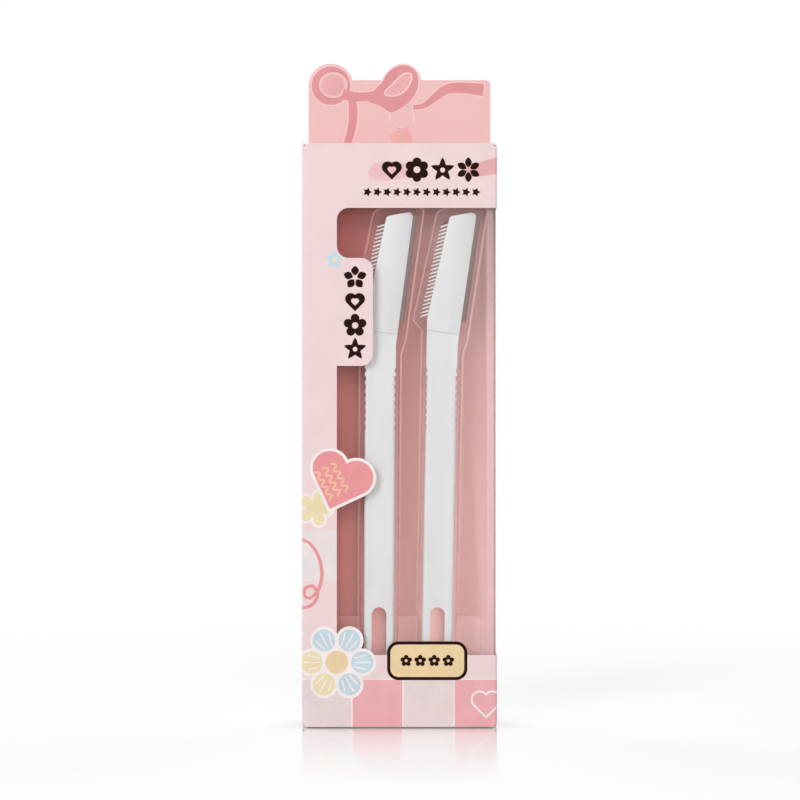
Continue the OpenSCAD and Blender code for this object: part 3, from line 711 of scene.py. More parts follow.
class CARTON_OT_stage(bpy.types.Operator):
    """Pale floor, soft lamps, even dome and the camera at the photograph's angle"""
    bl_idname = "carton.stage"
    bl_label = "Studio"

    def execute(self, context):
        studio = context.scene.studio_settings
        floor_mesh = bpy.data.meshes.new("floor")
        reach, height = 3.0, -0.00005
        corners = [(x * reach, y * reach, height) for x, y in ((-1, -1), (1, -1), (1, 1), (-1, 1))]
        floor_mesh.from_pydata(corners, [], [(0, 1, 2, 3)])
        floor = linked("floor", floor_mesh)
        floor.data.materials.append(self.acrylic_floor())
        self.dome_light(context.scene, studio.dome)
        middle = Vector((0, 0, 0.09))
        lamps = (
            ("key_lamp", (-0.98, -1.58, 0.9), 0.85, studio.key),
            ("front_lamp", (0.12, -1.85, 0.8), 0.6, studio.front),
            ("fill_lamp", (0.25, -1.5, 0.12), 0.5, studio.fill),
            ("back_lamp_right", (1.6, 1.25, 0.45), 1.4, studio.back),
            ("back_lamp_left", (-1.6, 1.25, 0.45), 1.4, studio.back),
        )
        for name, place, size, power in lamps:
            data = bpy.data.lights.new(name, "AREA")
            data.shape = "DISK"
            data.size = size
            data.energy = power
            lamp = linked(name, data)
            lamp.location = place
            lamp.rotation_euler = (middle - Vector(place)).to_track_quat("-Z", "Y").to_euler()
            # Only the key is mirrored, so that the others leave no glow on the floor
            lamp.visible_glossy = name == "key_lamp"
        sensor = 36.0
        camera_data = bpy.data.cameras.new("camera")
        camera_data.sensor_width = sensor
        camera_data.lens = sensor * studio.camera_distance / studio.view_width
        camera_data.clip_start = 0.01
        camera_data.clip_end = 20.0
        camera = linked("camera", camera_data)
        camera.location = (0.00015, -0.008 - studio.camera_distance, 0.0981)
        camera.rotation_euler = (math.pi / 2, 0, 0)
        context.scene.camera = camera
        context.scene.view_settings.view_transform = "Standard"
        return {"FINISHED"}

    def acrylic_floor(self):
        """White acrylic sheet: lit, and with a glow, it goes to white in the picture and keeps the lamps'
        shadow; near the carton the glow is darkened as a painted contact shadow. It mirrors the carton's
        foot, less and less sharply with the distance from the carton."""
        material, tree, place = new_material("white_acrylic_floor")
        white = (1, 1, 1, 1)
        plain = add(tree, "BsdfDiffuse", linear("#E6E6E6"))
        away = self.from_carton(tree, place)
        tone = varied(tree, grain(tree, place, 40), 0.0, 1.0, linear("#B4B4B4"), linear("#B6B6B6"))
        sheet = add(tree, "BsdfPrincipled", {"Base Color": tone, "Roughness": 0.6, "Specular IOR Level": 0.0})
        # Painted contact shadow: the glow is darkened near the carton by occlusion
        painted_contact_shadow = add(tree, "AmbientOcclusion", {"Distance": 14 * MM}, samples=8).outputs["AO"]
        glow = add(tree, "Emission", white, add(tree, "Math", painted_contact_shadow, 0.675, operation="MULTIPLY"))
        lit = add(tree, "AddShader", sheet, glow)
        # From 10 to 35 cm from the carton the sheet goes over to plain white
        far = add(tree, "MapRange", away, 0.1, 0.35)
        lit = add(tree, "MixShader", far, lit, add(tree, "Emission", white))
        blur = add(tree, "MapRange", away, 0.0, 0.12, 0.05, 0.3)
        mirror = add(tree, "BsdfGlossy", {"Color": white, "Roughness": blur})
        share = add(tree, "MapRange", away, 0.0, 0.115, 0.62, 0.0)
        lit = add(tree, "MixShader", share, lit, mirror)
        # For the light that falls on the carton the sheet is plain and diffuse
        top = add(tree, "MixShader", self.looked_at(tree), plain, lit)
        # From below the sheet isn't there, so that the carton's underside can be looked at
        below = add(tree, "NewGeometry").outputs["Backfacing"]
        none = add(tree, "BsdfTransparent", white)
        add(tree, "OutputMaterial", add(tree, "MixShader", below, top, none))
        return material

    def from_carton(self, tree, place):
        """The distance in plan from the carton's foot, in metres."""
        axes = add(tree, "SeparateXYZ", place).outputs
        gaps = []
        for axis in (0, 1):
            gap = add(tree, "Math", axes[axis], operation="ABSOLUTE")
            gap = add(tree, "Math", gap, CAD_BOX[1][axis], operation="SUBTRACT")
            gaps.append(add(tree, "Math", gap, 0.0, operation="MAXIMUM"))
        flat = add(tree, "CombineXYZ", *gaps)
        return add(tree, "VectorMath", flat, operation="LENGTH").outputs["Value"]

    def looked_at(self, tree):
        """1 for what the camera sees, straight or in gloss and clear plastic, and 0 for light."""
        path = add(tree, "LightPath").outputs
        seen = path["Is Camera Ray"]
        for ray in ("Is Glossy Ray", "Is Transmission Ray"):
            seen = add(tree, "Math", seen, path[ray], operation="MAXIMUM")
        return seen

    def dome_light(self, scene, strength):
        """An even dome, which the camera sees as white."""
        world = bpy.data.worlds.new("soft_dome")
        scene.world = world
        world.use_nodes = True
        tree = world.node_tree
        tree.nodes.clear()
        level = add(tree, "MapRange", self.looked_at(tree), 0.0, 1.0, strength, 1.0)
        add(tree, "OutputWorld", add(tree, "Background", (1, 1, 1, 1), level))


class CARTON_OT_board(bpy.types.Operator):
    """Printed board of the sleeve, header, lids, tucks and dust flaps, with white cut edges"""
    bl_idname = "carton.board"
    bl_label = "Printed board"

    def execute(self, context):
        core = shared("bleached_board_core", board_core)
        # The inside is printed rose, with painted shade at the upper left, above and at the right
        inside = shared("printed_board_inside", printed_board, colour("inside"), None, rose_print_with_painted_shade)
        reverse = shared("printed_board_reverse", printed_board, colour("inside"))
        for node, tone in (("front_panel", "front"), ("left_side_panel", "front"),
                           ("right_side_panel", "front"), ("back_panel", "header")):
            outside = shared("printed_board_" + tone, printed_board, colour(tone), "folds")
            self.sleeve_panel(node, [outside, inside, core])
        for node, body, way, tone in (
                ("glue_flap", "carton", (-0.7, 0.7, 0), "front"),
                ("header_front_panel", "carton", (0, -1, 0), "header"),
                ("hang_hole_tab", "hang_tab", (0, -1, 0), "header"),
                ("top_lid", "top_lid", (0, 0, 1), "front"),
                ("top_tuck_flap", "top_tuck", (0, -1, 0), "front"),
                ("top_dust_flap_left", "top_dust_left", (0, 0, 1), "front"),
                ("top_dust_flap_right", "top_dust_right", (0, 0, 1), "front"),
                ("bottom_lid", "bottom_lid", (0, 0, -1), "front"),
                ("bottom_tuck_flap", "bottom_tuck", (0, -1, 0), "front"),
                ("bottom_dust_flap_left", "bottom_dust_left", (0, 0, -1), "front"),
                ("bottom_dust_flap_right", "bottom_dust_right", (0, 0, -1), "front")):
            self.flat_panel(node, body, Vector(way), tone, inside if node == "glue_flap" else reverse, core)
        return {"FINISHED"}

    def sleeve_panel(self, node, materials):
        """A panel of the sleeve, its outside moved in by the room that the inks take."""
        made = node_copy(node)
        flat_x, flat_y = FLAT_X * MM, FLAT_Y * MM
        # The left side turns in behind the back panel, one board further forward
        back_y = flat_y - BOARD_T * MM if node == "left_side_panel" else flat_y
        mid_board = 0.7 * MM
        depth = {}
        for v in made.verts:
            near = Vector((max(-flat_x, min(flat_x, v.co.x)), max(-flat_y, min(back_y, v.co.y)), v.co.z))
            out = v.co - near
            depth[v] = out.length
            if out.length > mid_board:
                v.co = near + out * (1 - INK_ROOM * MM / out.length)
        if node == "front_panel":
            # The free lower edge stands just clear of the table
            for v in made.verts:
                v.co.z = max(v.co.z, FOOT_GAP * MM)
        for face in made.faces:
            depths = [depth[v] for v in face.verts]
            if min(depths) > mid_board:
                face.material_index = 0
            elif max(depths) < mid_board and abs(face.normal.z) < 0.5:
                face.material_index = 1
            else:
                face.material_index = 2
        self.dressed(node, made, "carton", materials)

    def flat_panel(self, node, body, way, tone, inside, core):
        """A flat board: its side that looks the way given is the outside, the other the inside."""
        outside = printed_board("printed_board_" + node, colour(tone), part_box(node))
        made = node_copy(node)
        enough = 0.45
        for face in made.faces:
            facing = face.normal.dot(way)
            face.material_index = 0 if facing > enough else 1 if facing < -enough else 2
        back = outside if node == "hang_hole_tab" else inside
        self.dressed(node, made, body, [outside, back, core])

    def dressed(self, node, made, body, materials):
        """Finishes a board on its body, in place of its CAD node."""
        finished(node + "_board", as_mesh(node, made), body, materials, [node])


class CARTON_OT_check_band(bpy.types.Operator):
    """Band of checks round the foot of the sleeve, and the pale patch on the left side"""
    bl_idname = "carton.check_band"
    bl_label = "Check band"

    def execute(self, context):
        sizes = context.scene.print_sizes
        square, height = sizes.check_square / MM, sizes.check_height / MM
        tree = check_squares()
        first = -14.2
        for name, start, count in (("check", first, 4), ("check_pale", first - square, 5)):
            ink = inked(name)
            mesh = rule_mesh(name + "_squares", tree, Count=count, Square=square, Height=height, Ink=ink)
            mesh.transform(Matrix.Translation((start, 0, 0)))
            sleeve_print(name + "_squares", self.within(mesh), ink, 1)
        seams = [first + square * k for k in range(-1, 8)]
        lines = [rectangle(u - 0.2, 0.0, u + 0.2, height) for u in seams]
        lines.append(rectangle(BAND_ENDS[0], height, BAND_ENDS[1], height + 0.3))
        sleeve_print("check_lines", lines, inked("white"), 2)
        veil = shared("offset_ink_veil", offset_ink, linear("#EFE4E3"))
        sleeve_print("left_pale_squares", [rectangle(BAND_ENDS[0], 44.0, WINDOW_X - 0.05, 59.2)], veil, 1)
        return {"FINISHED"}

    def within(self, mesh):
        """Cuts the band off at its two ends."""
        made = as_bmesh(mesh)
        for u, way in zip(BAND_ENDS, (-1, 1)):
            cut(made, (u, 0, 0), (way, 0, 0), clear_outer=True)
        return as_mesh("band", made)


class CARTON_OT_front_print(bpy.types.Operator):
    """Ornaments, small stars and soft strokes above the window and on the name tab"""
    bl_idname = "carton.front_print"
    bl_label = "Front ornaments"

    # Strokes as (x, z, width), in millimetres
    LEFT_STROKE = ((-9.0, 165.0, 2.0), (-6.8, 166.2, 5.4), (-3.6, 166.6, 5.8), (0.5, 166.8, 4.8),
                   (2.5, 167.0, 3.0))
    RIGHT_STROKE = ((20.0, 166.0, 2.6), (24.0, 167.0, 4.0), (28.3, 168.0, 4.8), (36.0, 169.0, 5.2))
    CURL_END = ((-31.0, 36.2, 0.7), (-28.2, 36.0, 0.9), (-25.6, 37.4, 1.0), (-24.5, 40.2, 1.0),
                (-26.0, 42.4, 1.0), (-28.3, 41.6, 1.0), (-28.2, 39.3, 0.9), (-26.4, 38.8, 0.9))
    CURL = ((-26.5, 38.9, 0.8), (-24.2, 41.4, 1.0), (-23.2, 46.2, 1.1), (-24.3, 51.4, 1.0),
            (-27.0, 55.3, 0.9), (-31.5, 57.2, 0.7))

    def execute(self, context):
        soft = shared("offset_ink_soft_stroke", offset_ink, linear("#F0C3C6"))
        strong = shared("offset_ink_stroke", offset_ink, linear("#E9B0B1"))
        brown, coral = inked("brown"), inked("coral")
        small = rule_mesh("small_stars", row_of_stars(), Count=12, Pitch=2.95, Points=5, Ink=brown,
                          **{"Outer Radius": 1.42, "Inner Radius": 0.72})
        small.transform(Matrix.Translation((-9.6, 160.3, 0)))
        for name, source, ink, layer in (
                ("stroke_left", [ribbon(self.LEFT_STROKE)], soft, 1),
                ("stroke_right", [ribbon(self.RIGHT_STROKE)], strong, 1),
                ("title_ornaments", self.title(), brown, 3),
                ("small_stars", small, brown, 3),
                ("name_tab_ornaments", self.tab(), brown, 3),
                ("curl_end", [ribbon(self.CURL_END)], coral, 2),
                ("curl", [ribbon(self.CURL)], coral, 3),
                ("heart_line", [heart(25.9, 6.6, 2.7), heart(25.9, 6.6, 2.7, 0, 0.55)], inked("white"), 3),
                ("tab_flower", [blossom(-19.4, 140.0, 1.5, 0.95, 5, 18)], inked("blue"), 2),
                ("tab_flower_middle", [disc(-19.4, 140.0, 0.7)], inked("cream"), 3)):
            sleeve_print(name, source, ink, layer)
        return {"FINISHED"}

    def title(self):
        """A heart, a blossom, a star and a ring of leaves, each with an open middle."""
        z = 167.0
        return [
            heart(-2.3, z - 0.5, 1.75), heart(-2.3, z - 0.35, 0.75),
            blossom(5.2, z, 2.3, 1.35, 6, 30), disc(5.2, z, 1.0),
            star(12.9, z, 3.7, 1.75), disc(12.9, z - 0.1, 0.75),
            *self.leaves(20.6, z, 3.1, 2.0, 6),
        ]

    def tab(self):
        """The same kinds of ornament, one below the other."""
        x = -13.3
        return [
            *self.leaves(x, 134.7, 2.9, 2.3, 5),
            heart(x, 127.1, 1.75), heart(x, 127.3, 0.7),
            blossom(x, 120.4, 2.2, 1.3, 5, 18), disc(x, 120.4, 0.95),
            star(x, 113.3, 3.5, 1.7), disc(x, 113.3, 0.7),
        ]

    def leaves(self, x, z, length, width, count):
        """Leaves that point away from a middle which they leave open."""
        turns = [90 + 360 * k / count for k in range(count)]
        return [leaf(*at(x, z, length / 2 + 0.65, turn), length, width, turn) for turn in turns]


class CARTON_OT_badges(bpy.types.Operator):
    """Heart, blossom and plaque printed on the die-cut shapes at the window"""
    bl_idname = "carton.badges"
    bl_label = "Badges"

    def execute(self, context):
        sizes = context.scene.print_sizes
        border = sizes.badge_border / MM
        # Middle, ring, petal, number of petals and turn
        flower = (-25.2, 65.6, 3.5, 2.4, 5, 0)
        x, z, r, turn = -18.35, 72.3, 6.0, -20.0
        for name, loops, tone, layer in (
                # The small flower is printed under the heart and runs round the fold
                ("small_flower_white", [blossom(*flower)], "white", 1),
                ("small_flower", [blossom(*flower, border * 0.8)], "cream", 2),
                ("heart_white", [heart(x, z, r - 0.05, turn)], "white", 3),
                ("heart_coral", [heart(x, z, r, turn, border)], "coral", 4),
                ("heart_waves", self.waves(x - 1.9, z + 1.6), "apricot", 5),
                *self.blossom_badge(border),
                *self.plaque(sizes.plaque_border / MM)):
            sleeve_print(name, loops, inked(tone), layer)
        return {"FINISHED"}

    def waves(self, x, z):
        """Three short wavy lines, side by side."""
        made = []
        for row in (-1, 0, 1):
            line = [((k - 4) * 1.2, 2.7 * row + (0.7 if k % 2 else -0.7)) for k in range(9)]
            made.append(ribbon([(*point, 0.62) for point in turned(line, x, z, -62)]))
        return made

    def blossom_badge(self, border):
        """White petals with blue and cream fills and white ribs, round a cream middle."""
        x, z, ring, petal = WINDOW_X, 19.6, 7.6, 4.2
        fills, ribs = {"blue": [], "cream": []}, []
        for turn in range(0, 360, 60):
            tone = "cream" if turn in (180, 240) else "blue"
            fills[tone].append(disc(*at(x, z, ring, turn), petal - border))
            for way, reach in ((turn - 14, 9.0), (turn, 10.2), (turn + 14, 9.0)):
                ribs.append(ribbon([(*at(x, z, 5.2, way), 0.35), (*at(x, z, reach, way), 0.55)]))
        return [
            ("blossom_white", [blossom(x, z, ring, petal - 0.03)], "white", 3),
            ("blossom_petals", fills["blue"], "blue", 4),
            ("blossom_cream_petals", fills["cream"], "cream", 4),
            ("blossom_ribs", ribs, "white", 5),
            ("blossom_middle", [disc(x, z, 3.4)], "plaque", 5),
        ]

    def plaque(self, edge):
        """A dark border, a ground and a row of flowers."""
        x, z, half_x, half_z, r = 8.3, 20.1, 12, 5.8, 3.4
        flowers = []
        for k in range(4):
            middle = x - 6.3 + 4.2 * k
            flowers += [blossom(middle, z, 1.1, 0.68, 5, 18), disc(middle, z, 0.45)]
        border, ground = (rectangle(x - half_x + room, z - half_z + room, x + half_x - room,
                                    z + half_z - room, r - room) for room in (0.0, edge))
        return [
            ("plaque_border", [border], "brown", 3),
            ("plaque_ground", [ground], "plaque", 4),
            ("plaque_flowers", flowers, "brown", 5),
        ]


class CARTON_OT_bow(bpy.types.Operator):
    """Printed bow with two loops and two tails on the header"""
    bl_idname = "carton.bow"
    bl_label = "Bow"

    # The right loop and its opening, in millimetres, anticlockwise
    RIGHT_LOOP = ((-9.6, 189.4), (-6.2, 187.9), (-3.0, 186.0), (-1.4, 186.2), (1.6, 187.9), (4.4, 190.9),
                  (5.7, 194.6), (5.0, 198.2), (2.6, 200.0), (-0.6, 199.9), (-3.6, 197.8), (-5.2, 195.2),
                  (-7.6, 192.6))
    RIGHT_SLIT = ((-4.2, 191.7), (-1.4, 191.2), (1.4, 192.6), (3.1, 195.2), (3.2, 197.4), (1.2, 197.2),
                  (-1.6, 194.6))
    # Bands as (x, z, width)
    BRIDGE = ((-17.4, 191.6, 3.2), (-14.0, 190.6, 3.0), (-10.5, 190.6, 2.6), (-7.0, 191.0, 3.0))
    LEFT_TAIL = ((-14.8, 190.6, 2.0), (-14.2, 187.2, 2.6), (-14.3, 182.6, 2.5), (-15.4, 178.0, 2.3),
                 (-17.0, 173.5, 2.2))
    RIGHT_TAIL = ((4.2, 187.4, 1.2), (7.4, 187.9, 1.6), (10.8, 190.4, 2.4), (14.6, 193.0, 2.9),
                  (19.8, 193.3, 3.2), (25.6, 192.7, 3.7))
    PATCH = ((-0.4, 180.2, 5.6), (0.4, 178.4, 6.4), (1.9, 175.2, 5.2))

    def execute(self, context):
        inner = shared("offset_ink_bow_inner", offset_ink, linear("#EDB2B3"))
        soft = shared("offset_ink_soft_coral", offset_ink, linear("#F0B6B0"))
        light, strong = inked("outline"), inked("ribbon")
        x, z = -20.95, 194.0
        hole = oval(x + 0.7, z + 0.2, 3.9, 3.5)
        loop = curve_points(self.RIGHT_LOOP, closed=True)
        slit = curve_points(self.RIGHT_SLIT, closed=True)
        edge = 0.45
        layers = (
            ("patch", [ribbon(self.PATCH)], soft),
            ("left_tail_edge", [ribbon(self.LEFT_TAIL, edge)], light),
            ("right_tail_edge", [ribbon(self.RIGHT_TAIL, edge)], light),
            ("bridge_edge", [ribbon(self.BRIDGE, edge)], light),
            ("left_loop_edge", [disc(x, z, 6.35), hole], light),
            ("right_loop_edge", [self.widened(loop, 0.42)], light),
            ("left_tail", [ribbon(self.LEFT_TAIL)], strong),
            ("right_tail", [ribbon(self.RIGHT_TAIL)], strong),
            ("bridge", [ribbon(self.BRIDGE)], strong),
            ("left_loop", [disc(x, z, 5.85), self.widened(hole, edge)], strong),
            ("right_loop", [loop], strong),
            ("right_slit_edge", [self.widened(slit, 0.55)], light),
            ("right_slit", [slit], inner),
            ("left_middle", [oval(x + 0.7, z + 0.2, 3.35, 2.95)], inner),
        )
        for layer, (name, loops, ink) in enumerate(layers, 1):
            header_print("bow_" + name, loops, ink, layer)
        return {"FINISHED"}

    def widened(self, loop, room):
        """A loop moved outwards by room, along its own normals."""
        points = [np.array(p[:2], float) for p in loop]
        made = []
        for i, p in enumerate(points):
            way = points[(i + 1) % len(points)] - points[i - 1]
            made.append(tuple(p + np.array((way[1], -way[0])) / max(1e-9, np.hypot(*way)) * room))
        return made


class CARTON_OT_film(bpy.types.Operator):
    """Clear film behind the window"""
    bl_idname = "carton.film"
    bl_label = "Window film"

    def execute(self, context):
        film = clear_pet("extruded_pet_film", linear("#FEFEFE"), 1.12, 0.05, 0.0, 30)
        finished("window_film_clear", as_mesh("film", node_copy("window_film")), "carton",
                 [film], ["window_film"])
        return {"FINISHED"}


class CARTON_OT_tray(bpy.types.Operator):
    """Clear thermoformed tray with a cavity for each razor and a thumb recess"""
    bl_idname = "carton.tray"
    bl_label = "Blister tray"

    def execute(self, context):
        sizes = context.scene.tray_sizes
        rim, foot = sizes.rim_radius / MM, sizes.floor_radius / MM
        # How far outside its outline a cavity's wall stands at the top and at the foot
        top, cavity_foot, thumb_foot = 0.4, 0.1, 0.2
        thumb_radius, border = 0.5, 0.6

        def rounded(r, *angles):
            """How far in a quarter round of radius r has come at each angle."""
            return [r - r * math.cos(math.radians(a)) for a in angles]

        rings = [top + way for way in rounded(rim, 90, 70, 50, 30, 12, 0)]
        cavity_rings = rings + [cavity_foot - way for way in rounded(foot, 0, 30, 55, 75, 90)]
        thumb_rings = rings + [thumb_foot - way for way in rounded(thumb_radius, 0, 30, 60, 90)]
        loops = [self.outer(way) for way in rounded(border, 0, 20, 40, 60, 75, 90)]
        # Two more loops inside the border hold the painted glare of its right side in
        loops += [self.outer(inset) for inset in (1.6, 2.7)]
        for side in RAZORS:
            loops += [self.cavity(side, grow) for grow in cavity_rings]
        loops += [self.thumb(grow) for grow in thumb_rings]
        points = [Vector(p) for loop in loops for p in loop]
        edges, first = [], 0
        for loop in loops:
            edges += [(first + i, first + (i + 1) % len(loop)) for i in range(len(loop))]
            first += len(loop)
        shape = delaunay_2d_cdt(points, edges, [list(range(len(loops[0])))], 1, 1e-4)
        flat = np.array([tuple(p) for p in shape[0]])
        depth = self.drop(self.distance(flat, self.thumb(0.0)), top, rim, thumb_radius, thumb_foot,
                          sizes.thumb_depth / MM)
        for side in RAZORS:
            away = self.distance(flat, self.cavity(side, 0.0))
            depth = np.maximum(depth, self.drop(away, top, rim, foot, cavity_foot, sizes.cavity_depth / MM))
        inset = np.clip(-self.distance(flat, loops[0]), 0, border)
        depth = np.maximum(depth, border - np.sqrt(np.maximum(0, border ** 2 - (border - inset) ** 2)))
        made = bmesh.new()
        layer = made.verts.layers.float.new("bend")
        verts = [made.verts.new((x, TRAY_Y[0] + y, z)) for (x, z), y in zip(flat, depth)]
        for v, b in zip(verts, self.haze(flat)):
            v[layer] = b
        for face in shape[2]:
            made.faces.new([verts[i] for i in face])
        bmesh.ops.recalc_face_normals(made, faces=made.faces)
        if sum(f.normal.y for f in made.faces) > 0:
            bmesh.ops.reverse_faces(made, faces=made.faces)
        rim_edges = [e for e in made.edges if len(e.link_faces) == 1]
        grown = bmesh.ops.extrude_edge_only(made, edges=rim_edges)["geom"]
        for v in (g for g in grown if isinstance(g, bmesh.types.BMVert)):
            v.co.y = TRAY_Y[1]
        bmesh.ops.scale(made, vec=(MM, MM, MM), verts=made.verts)
        # The veil is pale pink: painted pink light from the board behind, over the sheet's own whitening
        sheet = clear_pet("thermoformed_pet_tray", linear("#FDFCFC"), 1.15, 0.08, 0.005, 12, 0.16,
                          linear("#FBE3E0"))
        finished("blister_tray_sheet", as_mesh("tray", made), "tray", [sheet], ["blister_tray"])
        return {"FINISHED"}

    def haze(self, flat):
        """How much veil each point of the sheet takes, for its material: painted highlight and painted glare,
        with some real whitening.
        """
        def ramp(values, start, end):
            """0 before start and 1 past end."""
            return np.clip((values - start) / (end - start), 0, 1)

        x, z = flat[:, 0], flat[:, 1]
        # The sheet takes a veil at its foot, where it is drawn most, and along its right border: painted
        # glare that lightens what lies behind
        bend = np.maximum(1.25 * ramp(z, 35.0, 32.0), 2.0 * ramp(x, TRAY_X[1] - 2.65, TRAY_X[1] - 1.65))
        head = ramp(z, 100.0, 112.0)
        for side, (x0, lean) in RAZORS.items():
            away = self.distance(flat, self.cavity(side, 0.0))
            # A rim takes a painted highlight, with a little real whitening, whitest round the head and least
            # so to the right of the handle, whose cavity is drawn close to the razor and takes painted glare
            # all over
            right = x > x0 + (z - RAZOR_FOOT) * math.sin(math.radians(lean))
            whitest = np.where(right, 0.8 + 1.8 * head, 2.1 + 0.3 * head)
            bend = np.maximum(bend, whitest * ramp(np.abs(away - 0.75), 0.3, 0.0))
            bend = np.maximum(bend, (1.5 - 1.1 * head) * ramp(away, 0.35, 0.15))
        return bend

    def outer(self, inset):
        """The tray's outline, moved in by inset."""
        return rectangle(TRAY_X[0] + inset, TRAY_Z[0] + inset, TRAY_X[1] - inset, TRAY_Z[1] - inset,
                         max(0.2, 1.5 - inset))

    def thumb(self, grow):
        """The outline of the thumb recess, which runs across both cavities, wider by grow."""
        side, foot, head, corner = 4, 13.2, 33.2, 1.5
        return rectangle(TRAY_X[0] + side - grow, foot - grow, TRAY_X[1] - side + grow, head + grow,
                         corner + grow)

    def cavity(self, side, grow):
        """The outline of one razor's cavity, wider by grow, with every corner rounded."""
        room = 0.8 + grow
        corners = [
            (-HANDLE_X, 0), (-HANDLE_X, COMB_BEND - TOOTH_LEN), (-HANDLE_X - TOOTH_LEN, COMB_BEND),
            (HEAD_LEFT_X - TOOTH_LEN, COMB_TOP), (HEAD_LEFT_X, RAZOR_LEN),
            (HEAD_RIGHT_X + BLADE_OUT, RAZOR_LEN), (HANDLE_X + BLADE_OUT, BLADE_BEND + TOOTH_LEN),
            (HANDLE_X, BLADE_BEND - TOOTH_LEN), (HANDLE_X, 0),
        ]
        hollow = (1, 7)
        points = [np.array(c, float) for c in corners]
        ways = [after - here for here, after in zip(points, points[1:] + points[:1])]
        ways = [w / np.hypot(*w) for w in ways]
        outs = [np.array((-w[1], w[0])) for w in ways]
        made = []
        for i, point in enumerate(points):
            before, after = outs[i - 1], outs[i]
            corner = point + (before + after) * room / (1 + before @ after)
            r = max(0.05, 2.4 - grow) if i in hollow else max(0.05, room)
            made += self.rounded_corner(corner, -ways[i - 1], ways[i], r)
        x0, lean = RAZORS[side]
        return turned(made, x0, RAZOR_FOOT, -lean)

    def rounded_corner(self, corner, back, on, r):
        """Points on a round of radius r between the ways back and on from a corner."""
        half = math.acos(max(-1.0, min(1.0, float(back @ on)))) / 2
        reach = r / math.tan(half)
        middle = back + on
        centre = corner + middle / np.hypot(*middle) * r / math.sin(half)
        start, end = corner + back * reach - centre, corner + on * reach - centre
        a0 = math.atan2(start[1], start[0])
        turn = (math.atan2(end[1], end[0]) - a0 + math.pi) % (2 * math.pi) - math.pi
        angles = [a0 + turn * k / 8 for k in range(9)]
        return [(centre[0] + r * math.cos(a), centre[1] + r * math.sin(a)) for a in angles]

    def distance(self, flat, loop):
        """The distance of each point to a closed loop, negative inside."""
        a = np.array(loop)
        b = np.roll(a, -1, axis=0)
        along = b - a
        length = np.maximum((along ** 2).sum(1), 1e-12)
        t = np.clip(((flat[:, None] - a) * along).sum(2) / length, 0, 1)
        near = np.sqrt(((flat[:, None] - a - along * t[..., None]) ** 2).sum(2)).min(1)
        x, z = flat[:, None, 0], flat[:, None, 1]
        crosses = (a[:, 1] > z) != (b[:, 1] > z)
        rise = np.where(np.abs(along[:, 1]) < 1e-12, 1e-12, along[:, 1])
        inside = (crosses & (x < a[:, 0] + (z - a[:, 1]) * along[:, 0] / rise)).sum(1) % 2 == 1
        return np.where(inside, -near, near)

    def drop(self, away, start, rim, foot, foot_start, depth):
        """How far the sheet is drawn back, at each distance from a cavity's outline."""
        over = start + rim
        top = rim - np.sqrt(np.maximum(0, rim ** 2 - np.clip(over - away, 0, rim) ** 2))
        wall = rim + (start - away) / (start - foot_start) * (depth - foot - rim)
        inner = np.clip(away - foot_start + foot, 0, foot)
        low = depth - foot + np.sqrt(np.maximum(0, foot ** 2 - inner ** 2))
        return np.where(away >= start, top, np.where(away >= foot_start, wall, low))


class CARTON_OT_razors(bpy.types.Operator):
    """White moulded handles and head covers with softened edges"""
    bl_idname = "carton.razors"
    bl_label = "Razors"

    def execute(self, context):
        resin = shared("moulded_polypropylene", moulded_polypropylene, colour("plastic"))
        for side in RAZORS:
            for part, radius in (("handle", 0.2), ("head_cover", 0.12)):
                node = f"{side}_razor_{part}"
                made = node_copy(node)
                made.transform(razor_place(side).inverted() @ Matrix.Scale(1 / MM, 4))
                if part == "head_cover":
                    self.crown(made)
                self.soften(made)
                made.transform(Matrix.Scale(MM, 4) @ razor_place(side))
                bevel = {"width": radius * MM, "segments": 2, "limit_method": "WEIGHT",
                         "use_clamp_overlap": True}
                finished(node + "_moulded", as_mesh(node, made), side + "_razor", [resin],
                         [node], [("BEVEL", bevel)])
        return {"FINISHED"}

    def soften(self, made):
        """Weights for the bevel: every sharp edge, but only a little at the joint line."""
        weight = made.edges.layers.float.new("bevel_weight_edge")
        lean = math.radians(BLADE_LEAN)
        for edge in made.edges:
            if len(edge.link_faces) != 2 or edge.calc_face_angle() < math.radians(40):
                continue
            rise = [abs((v.co.z - HEAD_FOOT) * math.cos(lean) + v.co.x * math.sin(lean)) for v in edge.verts]
            edge[weight] = 0.2 if max(rise) < 0.2 else 1.0

    def crown(self, made):
        """Lays the cover's face on one curve across its width, from the comb over a crest to the blade,
        and fades that out at the joint line."""
        lean = math.radians((BLADE_LEAN + COMB_LEAN) / 2)
        for k in range(-10, 11):
            cut(made, (0.6 * k, 0, COMB_BEND - 8), (math.cos(lean), 0, -math.sin(lean)), dist=1e-4)
        for z in range(int(HEAD_FOOT) + 2, int(RAZOR_LEN), 4):
            cut(made, (0, 0, z), (0, 0, 1), dist=1e-4)
        made.normal_update()
        crest, comb_fall, blade_fall = 0.36, 0.35, 1.3
        for v in {v for face in made.faces if face.normal.y < -0.5 for v in face.verts}:
            comb = -HANDLE_X + max(0.0, v.co.z - COMB_BEND) * math.tan(math.radians(COMB_LEAN))
            blade = HANDLE_X + (v.co.z - BLADE_BEND) * math.tan(math.radians(BLADE_LEAN))
            across = (v.co.x - comb) / (blade - comb)
            if across < crest:
                fall = comb_fall * (1 - across / crest) ** 2
            else:
                fall = blade_fall * ((across - crest) / (1 - crest)) ** 2
            fade = min(1.0, max(0.0, (v.co.z - HEAD_FOOT - 1) / 8))
            v.co.y += (-HEAD_T / 2 + fall - v.co.y) * fade


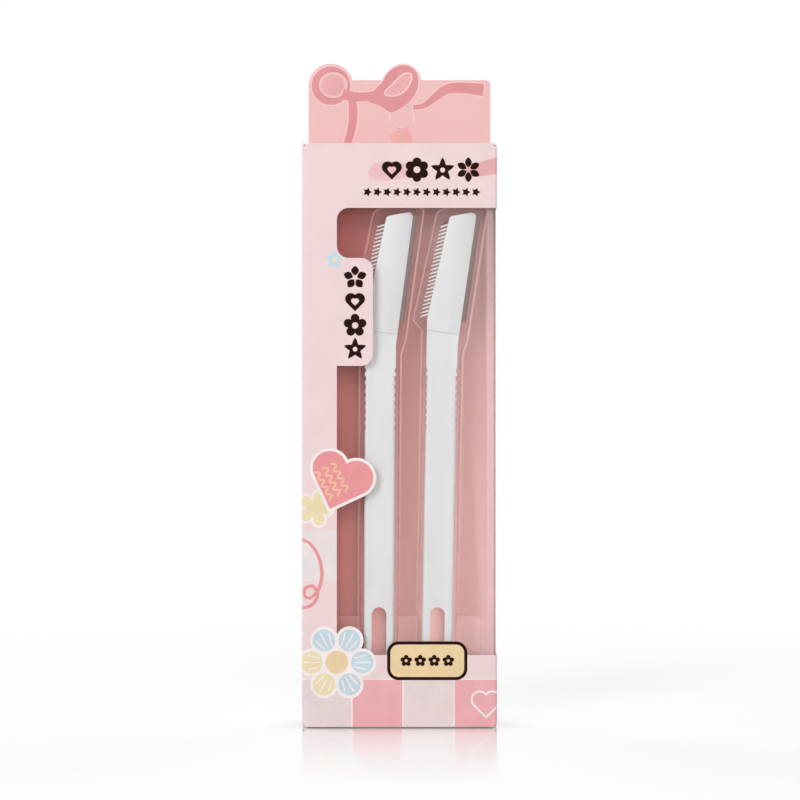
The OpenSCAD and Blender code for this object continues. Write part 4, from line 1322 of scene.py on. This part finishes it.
class CARTON_OT_blades(bpy.types.Operator):
    """Ground blades and the ribs of their skin guard"""
    bl_idname = "carton.blades"
    bl_label = "Blades"

    def execute(self, context):
        sizes = context.scene.print_sizes
        tree = guard_ridges()
        ribs = sizes.guard_ribs
        steel = shared("ground_stainless", ground_stainless, colour("steel"), (1, 1, 0.12))
        guard = shared("rolled_stainless_guard", ground_stainless, shade(colour("steel"), 0.85), (1, 1, 0.4))
        for side in RAZORS:
            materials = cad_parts[side + "_razor_blade"].data.materials
            materials.clear()
            materials.append(steel)
            mesh = rule_mesh(side + "_guard", tree, Count=ribs, Pitch=(BLADE_LEN - 1.2) / (ribs - 1),
                             Size=(1.3, 0.44, 0.22), Steel=guard)
            place = (razor_place(side) @ Matrix.Translation((HANDLE_X, 0, BLADE_BEND))
                     @ Matrix.Rotation(math.radians(BLADE_LEAN), 4, "Y")
                     @ Matrix.Translation((0.86, 0, BLADE_START + 0.6)))
            mesh.transform(Matrix.Scale(MM, 4) @ place)
            finished(side + "_blade_guard", mesh, side + "_razor", [guard])
        return {"FINISHED"}


class CARTON_PT_panel(bpy.types.Panel):
    """Shows the studio settings, the carton's colours and sizes, and a button for each step"""
    bl_idname = "CARTON_PT_panel"
    bl_label = "Razor carton"
    bl_space_type = "VIEW_3D"
    bl_region_type = "UI"
    bl_category = "Carton"

    def draw(self, context):
        for settings in ("studio_settings", "carton_colours", "print_sizes", "tray_sizes"):
            group = getattr(context.scene, settings)
            box = self.layout.box()
            for name in group.__annotations__:
                box.prop(group, name)
        for operator in OPERATORS:
            self.layout.operator(operator.bl_idname)


GROUPS = {
    "carton_colours": CartonColours,
    "print_sizes": PrintSizes,
    "tray_sizes": TraySizes,
    "studio_settings": StudioSettings,
}
OPERATORS = (
    CARTON_OT_stage, CARTON_OT_board, CARTON_OT_check_band, CARTON_OT_front_print, CARTON_OT_badges,
    CARTON_OT_bow, CARTON_OT_film, CARTON_OT_tray, CARTON_OT_razors, CARTON_OT_blades,
)


def register():
    for kind in (*GROUPS.values(), *OPERATORS, CARTON_PT_panel):
        bpy.utils.register_class(kind)
    for name, kind in GROUPS.items():
        setattr(bpy.types.Scene, name, PointerProperty(type=kind))


def unregister():
    for name in GROUPS:
        delattr(bpy.types.Scene, name)
    for kind in reversed((*GROUPS.values(), *OPERATORS, CARTON_PT_panel)):
        bpy.utils.unregister_class(kind)


def main():
    register()
    for operator in OPERATORS:
        group, name = operator.bl_idname.split(".")
        getattr(getattr(bpy.ops, group), name)()


if __name__ == "__main__":
    main()
